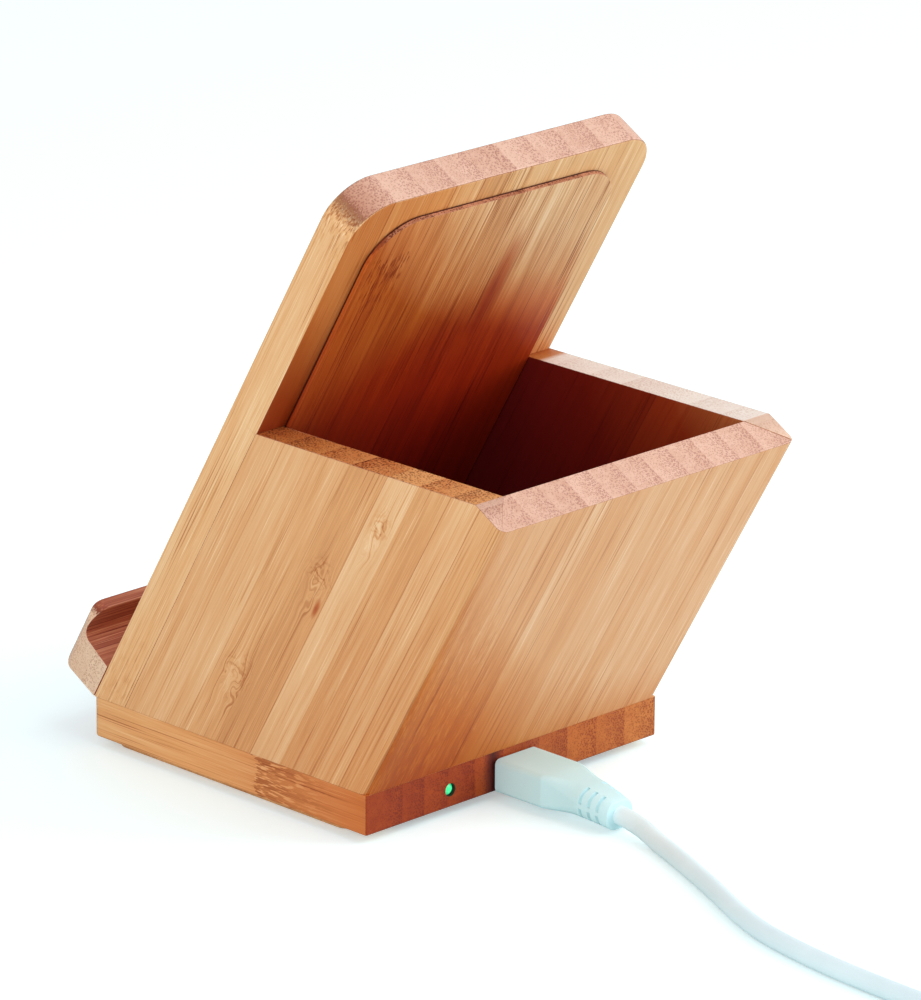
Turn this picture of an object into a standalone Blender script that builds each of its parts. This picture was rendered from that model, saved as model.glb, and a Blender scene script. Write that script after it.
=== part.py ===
"""Bamboo phone stand with a charging coil in its slanted rest, a pen box behind it and a charging lead.

Metres, +Z up. The phone leans on the -Y side of the rest; the pen box, the socket and the lead are on
the +Y side. The origin lies on the surface that the stand rests on, below the middle of the stand.
Pieces of the slanted rest are drawn flat, in a frame that is tilted with the rest: there X runs across,
Y runs up the rest and Z points out towards the phone.
"""
import math

import bmesh
import bpy
from mathutils import Matrix, Vector

# Clearances and small edges that all pieces share
GAP = 0.0003                  # between pieces that touch or are glued
RUNNING_GAP = 0.0002          # between the plug's metal nose and the socket
OVERRUN = 0.002               # how far a cutter reaches past a face
WOOD_EASE = 0.0004            # sanded edges of the wood

# Stand
STAND_WIDTH = 0.080
REST_TILT = math.radians(60)  # slope of the rest above the horizontal

# Base block
BASE_DEPTH = 0.077
BASE_THICKNESS = 0.0082
BASE_UNDER_EASE = 0.0006

# Pad under the base
PAD_THICKNESS = 0.0016
PAD_INSET_FRONT = 0.003       # from the base's front and sides
PAD_INSET_BACK = 0.008
PAD_CORNER = 0.003

# Rest
BOARD_THICKNESS = 0.0079
BOARD_LENGTH = 0.1375         # along its front face
BOARD_CORNER = 0.0088
PANEL_THICKNESS = 0.0009
PANEL_TOP_MARGIN = 0.0057
PANEL_CORNER = 0.0104

# Ledge, in the rest's tilted frame: heights run up the rest, depths out from it
LEDGE_FLOOR_AT_BOARD = 0.0080
LEDGE_FLOOR_AT_LIP = 0.0093
PHONE_CHANNEL = 0.0082
LIP_THICKNESS = 0.0025
LIP_HEIGHT = 0.0155
LEDGE_OUTER_ROUND = 0.0030
LEDGE_INNER_FILLET = 0.0020
LIP_TOP_ROUND = 0.0009
LIP_CORNER = 0.0045

# Pen box
BOX_HEIGHT = 0.0652
WALL_THICKNESS = 0.0072
BACK_WALL_THICKNESS = 0.0079
BOX_CORNER = 0.0020

# Transmitter coil in the rest
COIL_HEIGHT_ON_REST = 0.074
FRONT_SKIN = 0.0035           # wood left between the coil and the phone
COIL_WIRE = 0.0010
COIL_INNER_RADIUS = 0.0105
COIL_TURNS = 8
COIL_TURN_GAP = 0.0005
FERRITE_THICKNESS = 0.0008
FERRITE_LIP = 0.0004          # how far the ferrite reaches past the coil, inside and outside
POCKET_MARGIN = 0.0008        # clearance of the lead that passes between ferrite and wood
LEAD_WIRE = 0.0010
LEAD_SPREAD = 0.0010          # half the distance between the two coil leads
LEAD_CHANNEL_WIDTH = 0.0050
LEAD_CHANNEL_DEPTH = 0.0020
WIRE_GROOVE_DEPTH = 0.0032
SOLDER_LAP = 0.0020           # of the leads under the circuit board

# Charger circuit in the base. Heights are above the base's lower face
PORT_HEIGHT = 0.0034
LIGHT_HEIGHT = 0.0036
LIGHT_OFFSET = 0.0174
LIGHT_BORE = 0.00135
LIGHT_RADIUS = 0.00105
LIGHT_FLANGE_RADIUS = 0.00125
LIGHT_FLANGE = 0.0005
LIGHT_RECESS = 0.0003
PORT_WALL = 0.0024            # wood between the pocket and the back face
CIRCUIT_WIDTH = 0.046
CIRCUIT_DEPTH = 0.030
CIRCUIT_THICKNESS = 0.0010
CIRCUIT_CORNER = 0.0010
CIRCUIT_SHOULDER = 0.0040     # width of wood that the circuit board's sides rest on
CAVITY_HEIGHT = 0.0062        # ceiling of the room for components
COVER_SEAT = 0.0062           # cover's overlap on the wood at the sides and the front
COVER_BACK_SEAT = 0.0011
COVER_THICKNESS = 0.0013
COVER_CORNER = 0.0020

# Socket
SOCKET_INNER_WIDTH = 0.0070
SOCKET_INNER_HEIGHT = 0.0021
SOCKET_WALL = 0.0003
SOCKET_LENGTH = 0.0064
SOCKET_RECESS = 0.0008
SOCKET_CHAMFER = 0.0007
SOCKET_BLOCK = 0.0009
TONGUE_WIDTH = 0.0036
TONGUE_THICKNESS = 0.0006
TONGUE_LENGTH = 0.0040

# Components
CHIP_SIZE = 0.0050
CHIP_HEIGHT = 0.0009
DRIVER_LENGTH = 0.0050
DRIVER_WIDTH = 0.0040
DRIVER_HEIGHT = 0.0014
CAPACITOR_LENGTH = 0.0032
CAPACITOR_WIDTH = 0.0025
CAPACITOR_HEIGHT = 0.0012
CAPACITOR_COUNT = 4
CHOKE_SIZE = 0.0042
CHOKE_HEIGHT = 0.0014
CHOKE_CORNER = 0.0008
COMPONENT_SPACING = 0.0015

# Screws: head radius and height, shank radius, and how far the shank goes into the wood
BOARD_SCREW_HEAD = 0.0017
BOARD_SCREW_HEAD_HEIGHT = 0.0009
BOARD_SCREW_SHANK = 0.0008
BOARD_SCREW_DEPTH = 0.0026
COVER_SCREW_HEAD = 0.0018
COVER_SCREW_HEAD_HEIGHT = 0.0009
COVER_SCREW_SHANK = 0.0009
COVER_SCREW_DEPTH = 0.0050
SCREW_RECESS_WIDTH = 0.0004
SCREW_RECESS_DEPTH = 0.0004

# Lead: the plug in the socket
PLUG_WIDTH = 0.0114
PLUG_HEIGHT = 0.0069
PLUG_BODY_LENGTH = 0.0124
PLUG_TAPER_LENGTH = 0.0084
RELIEF_LENGTH = 0.0074
RELIEF_START_WIDTH = 0.0094
RELIEF_START_HEIGHT = 0.0064
RELIEF_END_WIDTH = 0.0072
RELIEF_END_HEIGHT = 0.0058
RELIEF_DROOP = 0.0017
SLOT_COUNT = 3
SLOT_PITCH = 0.0020
SLOT_WIDTH = 0.0008
SLOT_DEPTH = 0.0007
PLUG_CORNER = 0.0017
PLUG_NOSE_LENGTH = 0.0055
PLUG_NOSE_WALL = 0.00025

# Lead: cable
CABLE = 0.0038
COIL_PITCH = 0.0043           # between loops, side by side and one on the other
COIL_LOOPS = 6
LOOP_INNER_RADIUS = 0.0148
TIE_THICKNESS = 0.0005
TIE_WIDTH = 0.0060

# Lead: the wide plug at the far end
WIDE_PLUG_WIDTH = 0.0155
WIDE_PLUG_HEIGHT = 0.0078
WIDE_PLUG_BODY_LENGTH = 0.0190
WIDE_PLUG_SHOULDER = 0.0025
WIDE_RELIEF_LENGTH = 0.0080
WIDE_RELIEF_TIP = 0.0050
WIDE_RELIEF_ROOT = 0.0068
WIDE_SHELL_WIDTH = 0.0120
WIDE_SHELL_HEIGHT = 0.0045
WIDE_SHELL_LENGTH = 0.0120
WIDE_SHELL_WALL = 0.0003
WIDE_TONGUE_THICKNESS = 0.0018

# Rounding: segments for each quarter circle, and sides of round pieces
QUARTER_STEPS = 6
SMALL_QUARTER_STEPS = 3
ROUND_SIDES = 48
SCREW_SIDES = 20
LOOP_POINTS = 24
COIL_BEVEL_RESOLUTION = 1
RUN_BEVEL_RESOLUTION = 2

# Places worked out from the sizes
SLOPE_RUN = math.cos(REST_TILT)
SLOPE_RISE = math.sin(REST_TILT)
UP_REST = Vector((0, SLOPE_RUN, SLOPE_RISE))
LEDGE_REACH = GAP + PHONE_CHANNEL + LIP_THICKNESS
STAND_FRONT_FROM_BASE = (-BASE_DEPTH / 2 + LEDGE_OUTER_ROUND * SLOPE_RUN
                         - (LEDGE_REACH - LEDGE_OUTER_ROUND) * SLOPE_RISE - LEDGE_OUTER_ROUND)
STAND_BACK_FROM_BASE = (BASE_DEPTH / 2 + BOX_HEIGHT / math.tan(REST_TILT)
                        - BACK_WALL_THICKNESS / SLOPE_RISE + BACK_WALL_THICKNESS * SLOPE_RISE)
BASE_Y = -(STAND_FRONT_FROM_BASE + STAND_BACK_FROM_BASE) / 2
BASE_FRONT = BASE_Y - BASE_DEPTH / 2
BASE_BACK = BASE_Y + BASE_DEPTH / 2
BASE_BOTTOM = PAD_THICKNESS + GAP
BASE_TOP = BASE_BOTTOM + BASE_THICKNESS
RIM = BASE_TOP + BOX_HEIGHT
BOARD_BACK = BASE_FRONT + BOARD_THICKNESS / SLOPE_RISE   # at the base's top
BOX_INNER_BACK = BASE_BACK - BACK_WALL_THICKNESS / SLOPE_RISE
COIL_PITCH_WIRE = COIL_WIRE + COIL_TURN_GAP
COIL_OUTER_RADIUS = COIL_INNER_RADIUS + COIL_TURNS * COIL_PITCH_WIRE
FERRITE_BORE = COIL_INNER_RADIUS - COIL_WIRE / 2 - FERRITE_LIP
FERRITE_RADIUS = COIL_OUTER_RADIUS + COIL_WIRE / 2 + FERRITE_LIP
COIL_POCKET_RADIUS = FERRITE_RADIUS + LEAD_WIRE + POCKET_MARGIN
COIL_DEPTH = -(FRONT_SKIN + GAP + COIL_WIRE / 2)         # in the tilted frame
FERRITE_FRONT = COIL_DEPTH - COIL_WIRE / 2 - GAP
LEAD_DEPTH = -(BOARD_THICKNESS - LEAD_CHANNEL_DEPTH) - GAP - LEAD_WIRE / 2
CIRCUIT_MIDDLE = BASE_BOTTOM + PORT_HEIGHT
CIRCUIT_BOTTOM = CIRCUIT_MIDDLE - CIRCUIT_THICKNESS / 2
CIRCUIT_TOP = CIRCUIT_MIDDLE + CIRCUIT_THICKNESS / 2
SHOULDER = CIRCUIT_TOP + GAP
CAVITY_CEILING = BASE_BOTTOM + CAVITY_HEIGHT
POCKET_BACK = BASE_BACK - PORT_WALL
CIRCUIT_BACK = POCKET_BACK - GAP
CIRCUIT_FRONT = CIRCUIT_BACK - CIRCUIT_DEPTH
POCKET_FRONT = CIRCUIT_FRONT - GAP
POCKET_HALF_WIDTH = CIRCUIT_WIDTH / 2 + GAP
COVER_TOP = BASE_BOTTOM + COVER_THICKNESS
COVER_FRONT = POCKET_FRONT - COVER_SEAT
COVER_BACK = POCKET_BACK + COVER_BACK_SEAT
COVER_HALF_WIDTH = POCKET_HALF_WIDTH + COVER_SEAT
PORT_Z = BASE_BOTTOM + PORT_HEIGHT
LIGHT_Z = BASE_BOTTOM + LIGHT_HEIGHT
SOCKET_MOUTH = BASE_BACK - SOCKET_RECESS
SOCKET_OUTER_WIDTH = SOCKET_INNER_WIDTH + 2 * SOCKET_WALL
SOCKET_OUTER_HEIGHT = SOCKET_INNER_HEIGHT + 2 * SOCKET_WALL
PLUG_FACE = BASE_BACK + GAP
PLUG_LENGTH = PLUG_BODY_LENGTH + PLUG_TAPER_LENGTH + RELIEF_LENGTH
CABLE_EXIT = Vector((0, PLUG_FACE + PLUG_LENGTH, PORT_Z - RELIEF_DROOP))
CABLE_LOW = CABLE / 2
LOOP_OUTER_RADIUS = LOOP_INNER_RADIUS + COIL_PITCH * COIL_LOOPS / 2
LOOP_LOW = TIE_THICKNESS + GAP + CABLE / 2


# Small tools

def material(name, colour, roughness, metallic=0.0):
    """A plain material of one colour."""
    made = bpy.data.materials.new(name)
    made.use_nodes = True
    shader = made.node_tree.nodes["Principled BSDF"]
    shader.inputs["Base Color"].default_value = (*colour, 1)
    shader.inputs["Roughness"].default_value = roughness
    shader.inputs["Metallic"].default_value = metallic
    return made


def add_object(name, data, finish, parent=None):
    """Put a mesh or curve into the scene as one named piece."""
    piece = bpy.data.objects.new(name, data)
    bpy.context.scene.collection.objects.link(piece)
    if finish is not None:
        data.materials.append(finish)
    if parent is not None:
        piece.parent = parent
    return piece


def mesh_from(bm, name, smooth=False):
    """Turn a bmesh into a mesh with its faces pointing out."""
    bmesh.ops.recalc_face_normals(bm, faces=bm.faces)
    mesh = bpy.data.meshes.new(name)
    bm.to_mesh(mesh)
    bm.free()
    if smooth:
        mesh.shade_smooth()
        mesh.set_sharp_from_angle(angle=math.radians(35))
    return mesh


def arc(centre_x, centre_y, radius, start, end, steps):
    """Points on an arc, both ends included. Angles in degrees."""
    points = []
    for step in range(steps + 1):
        angle = math.radians(start + (end - start) * step / steps)
        points.append((centre_x + radius * math.cos(angle), centre_y + radius * math.sin(angle)))
    return points


def rounded_polygon(corners, radii, steps=QUARTER_STEPS):
    """Outline whose corners are rounded, each with its own radius; zero keeps a corner sharp."""
    outline = []
    count = len(corners)
    for index, radius in enumerate(radii):
        here = Vector(corners[index])
        before = (Vector(corners[index - 1]) - here).normalized()
        after = (Vector(corners[(index + 1) % count]) - here).normalized()
        if radius == 0:
            outline.append(tuple(here))
            continue
        half_angle = before.angle(after) / 2
        centre = here + (before + after).normalized() * (radius / math.sin(half_angle))
        first = here + before * (radius / math.tan(half_angle)) - centre
        turn = math.pi - 2 * half_angle
        if before.cross(after) > 0:
            turn = -turn
        start = math.atan2(first.y, first.x)
        for step in range(steps + 1):
            angle = start + turn * step / steps
            outline.append((centre.x + radius * math.cos(angle), centre.y + radius * math.sin(angle)))
    return outline


def rectangle(half_width, low, high):
    """Corners of a rectangle that is centred across."""
    return [(-half_width, low), (half_width, low), (half_width, high), (-half_width, high)]


def prism(outline, low, high, to_place=Matrix.Identity(4)):
    """Solid with the outline drawn on XY, from one height to another, then moved by a matrix."""
    bm = bmesh.new()
    face = bm.faces.new([bm.verts.new((x, y, low)) for x, y in outline])
    grown = bmesh.ops.extrude_face_region(bm, geom=[face])
    top = [item for item in grown["geom"] if isinstance(item, bmesh.types.BMVert)]
    bmesh.ops.translate(bm, verts=top, vec=(0, 0, high - low))
    bmesh.ops.transform(bm, matrix=to_place, verts=bm.verts)
    return bm


def turned(profile, to_place, sides):
    """Solid of revolution about Z. The profile gives radius and height, and starts and ends on Z."""
    bm = bmesh.new()
    rings = []
    for radius, height in profile:
        if radius == 0:
            rings.append([bm.verts.new((0, 0, height))])
            continue
        ring = []
        for side in range(sides):
            angle = math.tau * side / sides
            ring.append(bm.verts.new((radius * math.cos(angle), radius * math.sin(angle), height)))
        rings.append(ring)
    for lower, upper in zip(rings, rings[1:]):
        for side in range(sides):
            after = (side + 1) % sides
            corners = [lower[side % len(lower)], lower[after % len(lower)],
                       upper[after % len(upper)], upper[side % len(upper)]]
            bm.faces.new(list(dict.fromkeys(corners)))
    bmesh.ops.transform(bm, matrix=to_place, verts=bm.verts)
    return bm


def copies(name, data, finish, places):
    """Several pieces of one shape, numbered from 1, each at its own place."""
    data.materials.append(finish)
    for index, place in enumerate(places):
        add_object(f"{name}_{index + 1}", data, None).location = place


def finished_mesh(piece):
    """The mesh of a piece with its modifiers carried out; the piece itself is removed."""
    mesh = bpy.data.meshes.new_from_object(piece.evaluated_get(bpy.context.evaluated_depsgraph_get()))
    bpy.data.objects.remove(piece, do_unlink=True)
    return mesh


def cut_away(bm, point, normal):
    """Remove what lies on the side that the normal points to, and close the cut."""
    geometry = list(bm.verts) + list(bm.edges) + list(bm.faces)
    cut = bmesh.ops.bisect_plane(bm, geom=geometry, plane_co=point, plane_no=normal, clear_outer=True)
    rim = [item for item in cut["geom_cut"] if isinstance(item, bmesh.types.BMEdge)]
    bmesh.ops.holes_fill(bm, edges=rim, sides=0)


def ease(piece, width, segments=2, angle=math.radians(40)):
    """Rounded edges wherever two faces meet at a sharp angle."""
    modifier = piece.modifiers.new("eased edges", "BEVEL")
    modifier.width = width
    modifier.segments = segments
    modifier.limit_method = "ANGLE"
    modifier.angle_limit = angle
    modifier.use_clamp_overlap = True


def cut(piece, name, bm, parent=None, operation="DIFFERENCE", place=(0, 0, 0)):
    """Boolean with a hidden cutter."""
    cutter = add_object(name, mesh_from(bm, name), None, parent)
    cutter.location = place
    cutter.display_type = "WIRE"
    cutter.hide_render = True
    modifier = piece.modifiers.new(name, "BOOLEAN")
    modifier.operation = operation
    modifier.solver = "EXACT"
    modifier.object = cutter


def smooth_route(points, step):
    """Points about one step apart on a smooth curve through the given ones."""
    knots = [Vector(point) for point in points]
    spans = [(end - start).length for start, end in zip(knots, knots[1:])]
    headings = [(end - start) / span for start, end, span in zip(knots, knots[1:], spans)]
    tangents = [headings[0]]
    for index in range(1, len(spans)):
        weight = spans[index - 1] / (spans[index - 1] + spans[index])
        tangents.append(headings[index - 1].lerp(headings[index], weight))
    tangents.append(headings[-1])
    route = [knots[0]]
    for index, span in enumerate(spans):
        pieces = max(1, round(span / step))
        for piece in range(1, pieces + 1):
            t = piece / pieces
            route.append(knots[index] * (2 * t ** 3 - 3 * t ** 2 + 1)
                         + tangents[index] * (span * (t ** 3 - 2 * t ** 2 + t))
                         + knots[index + 1] * (3 * t ** 2 - 2 * t ** 3)
                         + tangents[index + 1] * (span * (t ** 3 - t ** 2)))
    return route


def tube(name, points, diameter, resolution, finish, parent=None):
    """Round wire or cable along a route, with closed ends."""
    curve = bpy.data.curves.new(name, "CURVE")
    curve.dimensions = "3D"
    curve.bevel_depth = diameter / 2
    curve.bevel_resolution = resolution
    curve.use_fill_caps = True
    spline = curve.splines.new("POLY")
    spline.points.add(len(points) - 1)
    for point, place in zip(spline.points, points):
        point.co = (*place, 1)
    return add_object(name, curve, finish, parent)


def section(width, height, corner, across, up, steps=SMALL_QUARTER_STEPS):
    """Rounded rectangle round a centre, as a closed list of (x, z) points."""
    corners = [(across - width / 2, up - height / 2), (across + width / 2, up - height / 2),
               (across + width / 2, up + height / 2), (across - width / 2, up + height / 2)]
    return rounded_polygon(corners, [corner] * len(corners), steps)


def loft(sections):
    """Solid through a row of sections, each (y, points), with flat ends."""
    bm = bmesh.new()
    rings = [[bm.verts.new((x, y, z)) for x, z in points] for y, points in sections]
    for lower, upper in zip(rings, rings[1:]):
        for index in range(len(lower)):
            after = (index + 1) % len(lower)
            bm.faces.new((lower[index], lower[after], upper[after], upper[index]))
    bm.faces.new(rings[0])
    bm.faces.new(rings[-1])
    return bm


def hollow_nose(outline, inner, y_open, y_closed, y_floor):
    """Tube with one open end: outer outline, inner outline, mouth, closed end and inner floor."""
    bm = bmesh.new()
    rings = []
    for points, y in ((outline, y_closed), (outline, y_open), (inner, y_open), (inner, y_floor)):
        rings.append([bm.verts.new((x, y, z)) for x, z in points])
    for lower, upper in zip(rings, rings[1:]):
        for index in range(len(lower)):
            after = (index + 1) % len(lower)
            bm.faces.new((lower[index], lower[after], upper[after], upper[index]))
    bm.faces.new(rings[0])
    bm.faces.new(rings[-1])
    return bm


# Stand, wood

def make_tilted_frame():
    """Empty whose Y runs up the rest, with its origin at the foot of the rest's front face."""
    frame = bpy.data.objects.new("rest_frame", None)
    bpy.context.scene.collection.objects.link(frame)
    frame.location = (0, BASE_FRONT, BASE_TOP)
    frame.rotation_euler = (REST_TILT, 0, 0)
    return frame


def cut_level(bm, height):
    """In the tilted frame, remove what lies lower than a height above the base's top."""
    down = Vector((0, -SLOPE_RISE, -SLOPE_RUN))
    cut_away(bm, -down * height, down)


def make_base_block(wood):
    outline = rectangle(STAND_WIDTH / 2, BASE_FRONT, BASE_BACK)
    bm = prism(outline, BASE_BOTTOM, BASE_TOP)
    under = [edge for edge in bm.edges if all(vert.co.z < BASE_BOTTOM + OVERRUN for vert in edge.verts)]
    bmesh.ops.bevel(bm, geom=under, offset=BASE_UNDER_EASE, segments=2, affect="EDGES", profile=0.5)
    block = add_object("base_block", mesh_from(bm, "base_block"), wood)
    ease(block, WOOD_EASE, angle=math.radians(60))
    below = BASE_BOTTOM - OVERRUN
    cut(block, "cover_rebate", prism(
        rounded_polygon(rectangle(COVER_HALF_WIDTH + GAP, COVER_FRONT - GAP, COVER_BACK + GAP),
                        [COVER_CORNER] * 4), below, COVER_TOP + GAP))
    cut(block, "circuit_pocket", prism(
        rectangle(POCKET_HALF_WIDTH, POCKET_FRONT, POCKET_BACK), below, SHOULDER))
    cut(block, "component_cavity", prism(
        rectangle(POCKET_HALF_WIDTH - CIRCUIT_SHOULDER, POCKET_FRONT + CIRCUIT_SHOULDER, POCKET_BACK),
        below, CAVITY_CEILING))
    hole_front = BASE_FRONT + (BOARD_THICKNESS - LEAD_CHANNEL_DEPTH) / SLOPE_RISE
    hole_back = BOARD_BACK + PANEL_THICKNESS
    half = LEAD_CHANNEL_WIDTH / 2
    cut(block, "wire_groove", prism(
        rectangle(half, hole_front, POCKET_FRONT + OVERRUN), below, BASE_BOTTOM + WIRE_GROOVE_DEPTH))
    cut(block, "wire_hole", prism(
        rectangle(half - GAP, hole_front + GAP, hole_back - GAP), below, BASE_TOP + OVERRUN))
    slot = section(SOCKET_OUTER_WIDTH + 2 * GAP, SOCKET_OUTER_HEIGHT + 2 * GAP, SOCKET_CHAMFER, 0, PORT_Z)
    cut(block, "port_hole", loft([(POCKET_BACK - OVERRUN, slot), (BASE_BACK + OVERRUN, slot)]))
    along_y = Matrix.Translation((LIGHT_OFFSET, BASE_BACK, LIGHT_Z)) @ Matrix.Rotation(
        math.radians(-90), 4, "X")
    bore = [(0, -PORT_WALL - OVERRUN), (LIGHT_BORE, -PORT_WALL - OVERRUN), (LIGHT_BORE, OVERRUN),
            (0, OVERRUN)]
    cut(block, "light_bore", turned(bore, along_y, SCREW_SIDES))
    for index, (x, y) in enumerate(cover_screw_places()):
        pilot = [(0, 0), (COVER_SCREW_SHANK + GAP, 0), (COVER_SCREW_SHANK + GAP, COVER_SCREW_DEPTH + GAP),
                 (0, COVER_SCREW_DEPTH + GAP)]
        place = Matrix.Translation((x, y, COVER_TOP))
        cut(block, f"cover_pilot_{index}", turned(pilot, place, SCREW_SIDES))
    for index, (x, y) in enumerate(board_screw_places()):
        pilot = [(0, 0), (BOARD_SCREW_SHANK + GAP, 0), (BOARD_SCREW_SHANK + GAP, BOARD_SCREW_DEPTH + 2 * GAP),
                 (0, BOARD_SCREW_DEPTH + 2 * GAP)]
        place = Matrix.Translation((x, y, CIRCUIT_TOP))
        cut(block, f"board_pilot_{index}", turned(pilot, place, SCREW_SIDES))


def make_pad(cork):
    front, back = BASE_FRONT + PAD_INSET_FRONT, BASE_BACK - PAD_INSET_BACK
    outline = rounded_polygon(rectangle(STAND_WIDTH / 2 - PAD_INSET_FRONT, front, back), [PAD_CORNER] * 4)
    add_object("anti_slip_pad", mesh_from(prism(outline, 0, PAD_THICKNESS), "anti_slip_pad"), cork)


def make_rest_board(frame, wood):
    half = STAND_WIDTH / 2
    outline = rounded_polygon(rectangle(half, -OVERRUN, BOARD_LENGTH), [0, 0, BOARD_CORNER, BOARD_CORNER])
    bm = prism(outline, -BOARD_THICKNESS, 0)
    cut_level(bm, GAP)
    board = add_object("phone_rest_board", mesh_from(bm, "phone_rest_board", True), wood, frame)
    ease(board, WOOD_EASE)
    pocket = prism(arc(0, COIL_HEIGHT_ON_REST, COIL_POCKET_RADIUS, 0, 360, ROUND_SIDES)[:-1],
                   -BOARD_THICKNESS - OVERRUN, -FRONT_SKIN)
    cut(board, "coil_pocket", pocket, frame)
    channel = prism(rectangle(LEAD_CHANNEL_WIDTH / 2, -OVERRUN, COIL_HEIGHT_ON_REST - COIL_INNER_RADIUS),
                    -BOARD_THICKNESS - OVERRUN, -BOARD_THICKNESS + LEAD_CHANNEL_DEPTH)
    cut(board, "lead_channel", channel, frame)


def make_cover_panel(frame, wood):
    half = STAND_WIDTH / 2 - WALL_THICKNESS - GAP
    outline = rounded_polygon(rectangle(half, -OVERRUN, BOARD_LENGTH - PANEL_TOP_MARGIN),
                              [0, 0, PANEL_CORNER, PANEL_CORNER])
    front = -BOARD_THICKNESS - GAP
    bm = prism(outline, front - PANEL_THICKNESS, front)
    cut_level(bm, GAP)
    add_object("coil_cover_panel", mesh_from(bm, "coil_cover_panel", True), wood, frame)


def make_ledge(frame, wood):
    """L-shaped lip: its profile is pushed across, then trimmed to rounded corners from front and top."""
    inner = GAP + PHONE_CHANNEL
    corners = [(GAP, GAP), (LEDGE_REACH, GAP), (LEDGE_REACH, LIP_HEIGHT), (inner, LIP_HEIGHT),
               (inner, LEDGE_FLOOR_AT_LIP), (GAP, LEDGE_FLOOR_AT_BOARD)]
    radii = [0, LEDGE_OUTER_ROUND, LIP_TOP_ROUND, LIP_TOP_ROUND, LEDGE_INNER_FILLET, 0]
    profile = rounded_polygon(corners, radii, SMALL_QUARTER_STEPS)
    across = Matrix(((0, 0, 1, 0), (0, 1, 0, 0), (1, 0, 0, 0), (0, 0, 0, 1)))
    half = STAND_WIDTH / 2
    bm = prism(profile, -half, half, across)
    ledge = add_object("phone_ledge", mesh_from(bm, "phone_ledge", True), wood, frame)
    front = rounded_polygon(rectangle(half, -OVERRUN, LIP_HEIGHT), [0, 0, LIP_CORNER, LIP_CORNER])
    cut(ledge, "ledge_front_outline", prism(front, -OVERRUN, LEDGE_REACH + OVERRUN), frame, "INTERSECT")
    plan = rounded_polygon(rectangle(half, -OVERRUN, LEDGE_REACH),
                           [0, 0, LEDGE_OUTER_ROUND, LEDGE_OUTER_ROUND])
    lay_flat = Matrix(((1, 0, 0, 0), (0, 0, 1, 0), (0, 1, 0, 0), (0, 0, 0, 1)))
    trimmed = prism(plan, -OVERRUN, LIP_HEIGHT + OVERRUN, lay_flat)
    cut(ledge, "ledge_plan_outline", trimmed, frame, "INTERSECT")


def box_shell():
    """The pen box's three walls as one slanted U, with rounded rear corners and a square-cut rear top."""
    half = STAND_WIDTH / 2
    inner = half - WALL_THICKNESS
    front = BOARD_BACK + GAP / SLOPE_RISE + (GAP / math.tan(REST_TILT))
    corners = [(half, front), (half, BASE_BACK), (-half, BASE_BACK), (-half, front),
               (-inner, front), (-inner, BOX_INNER_BACK), (inner, BOX_INNER_BACK), (inner, front)]
    outline = rounded_polygon(corners, [0, BOX_CORNER, BOX_CORNER, 0, 0, 0, 0, 0])
    bm = prism(outline, BASE_TOP + GAP, RIM)
    lean = (BOX_HEIGHT - GAP) / math.tan(REST_TILT)
    for vert in bm.verts:
        if vert.co.z > BASE_TOP + OVERRUN:
            vert.co.y += lean
    turn_line = Vector((0, BOX_INNER_BACK + BOX_HEIGHT / math.tan(REST_TILT), RIM))
    cut_away(bm, turn_line, UP_REST)
    return bm


def mitre_plane(side):
    """A point on the mitre between a side wall and the back wall, and its normal out of the side wall."""
    inner_corner = Vector((side * (STAND_WIDTH / 2 - WALL_THICKNESS), BOX_INNER_BACK, BASE_TOP))
    outer_corner = Vector((side * STAND_WIDTH / 2, BASE_BACK, BASE_TOP))
    normal = (outer_corner - inner_corner).cross(UP_REST).normalized()
    return inner_corner, normal if normal.y > 0 else -normal


def make_pen_box(wood):
    for name, side in (("left_wall", 1), ("right_wall", -1)):
        bm = box_shell()
        point, normal = mitre_plane(side)
        cut_away(bm, point - normal * GAP / 2, normal)
        cut_away(bm, Vector((0, 0, 0)), Vector((-side, 0, 0)))
        wall = add_object(name, mesh_from(bm, name, True), wood)
        ease(wall, WOOD_EASE)
    bm = box_shell()
    for side in (1, -1):
        point, normal = mitre_plane(side)
        cut_away(bm, point + normal * GAP / 2, -normal)
    back = add_object("back_wall", mesh_from(bm, "back_wall", True), wood)
    ease(back, WOOD_EASE)


# Stand, charger

def make_ferrite(frame, ferrite):
    bm = prism(arc(0, COIL_HEIGHT_ON_REST, FERRITE_RADIUS, 0, 360, ROUND_SIDES)[:-1],
               FERRITE_FRONT - FERRITE_THICKNESS, FERRITE_FRONT)
    sheet = add_object("ferrite_sheet", mesh_from(bm, "ferrite_sheet", True), ferrite, frame)
    bore = prism(arc(0, COIL_HEIGHT_ON_REST, FERRITE_BORE, 0, 360, ROUND_SIDES // 2)[:-1],
                 FERRITE_FRONT - FERRITE_THICKNESS - OVERRUN, FERRITE_FRONT + OVERRUN)
    cut(sheet, "ferrite_bore", bore, frame)


def make_charging_coil(frame, copper):
    """Flat spiral that starts and ends straight below the coil's centre."""
    points = [Vector((-COIL_WIRE, COIL_HEIGHT_ON_REST - COIL_INNER_RADIUS, COIL_DEPTH))]
    for step in range(COIL_TURNS * LOOP_POINTS + 1):
        angle = math.tau * step / LOOP_POINTS - math.pi / 2
        radius = COIL_INNER_RADIUS + COIL_PITCH_WIRE * step / LOOP_POINTS
        points.append(Vector((radius * math.cos(angle), COIL_HEIGHT_ON_REST + radius * math.sin(angle),
                              COIL_DEPTH)))
    points.append(Vector((COIL_WIRE, COIL_HEIGHT_ON_REST - COIL_OUTER_RADIUS, COIL_DEPTH)))
    tube("charging_coil", points, COIL_WIRE, COIL_BEVEL_RESOLUTION, copper, frame)


def tilted_to_world(point):
    """A place in the rest's tilted frame, as world coordinates."""
    turn = Matrix.Rotation(REST_TILT, 4, "X")
    return Matrix.Translation((0, BASE_FRONT, BASE_TOP)) @ turn @ Vector(point)


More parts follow.
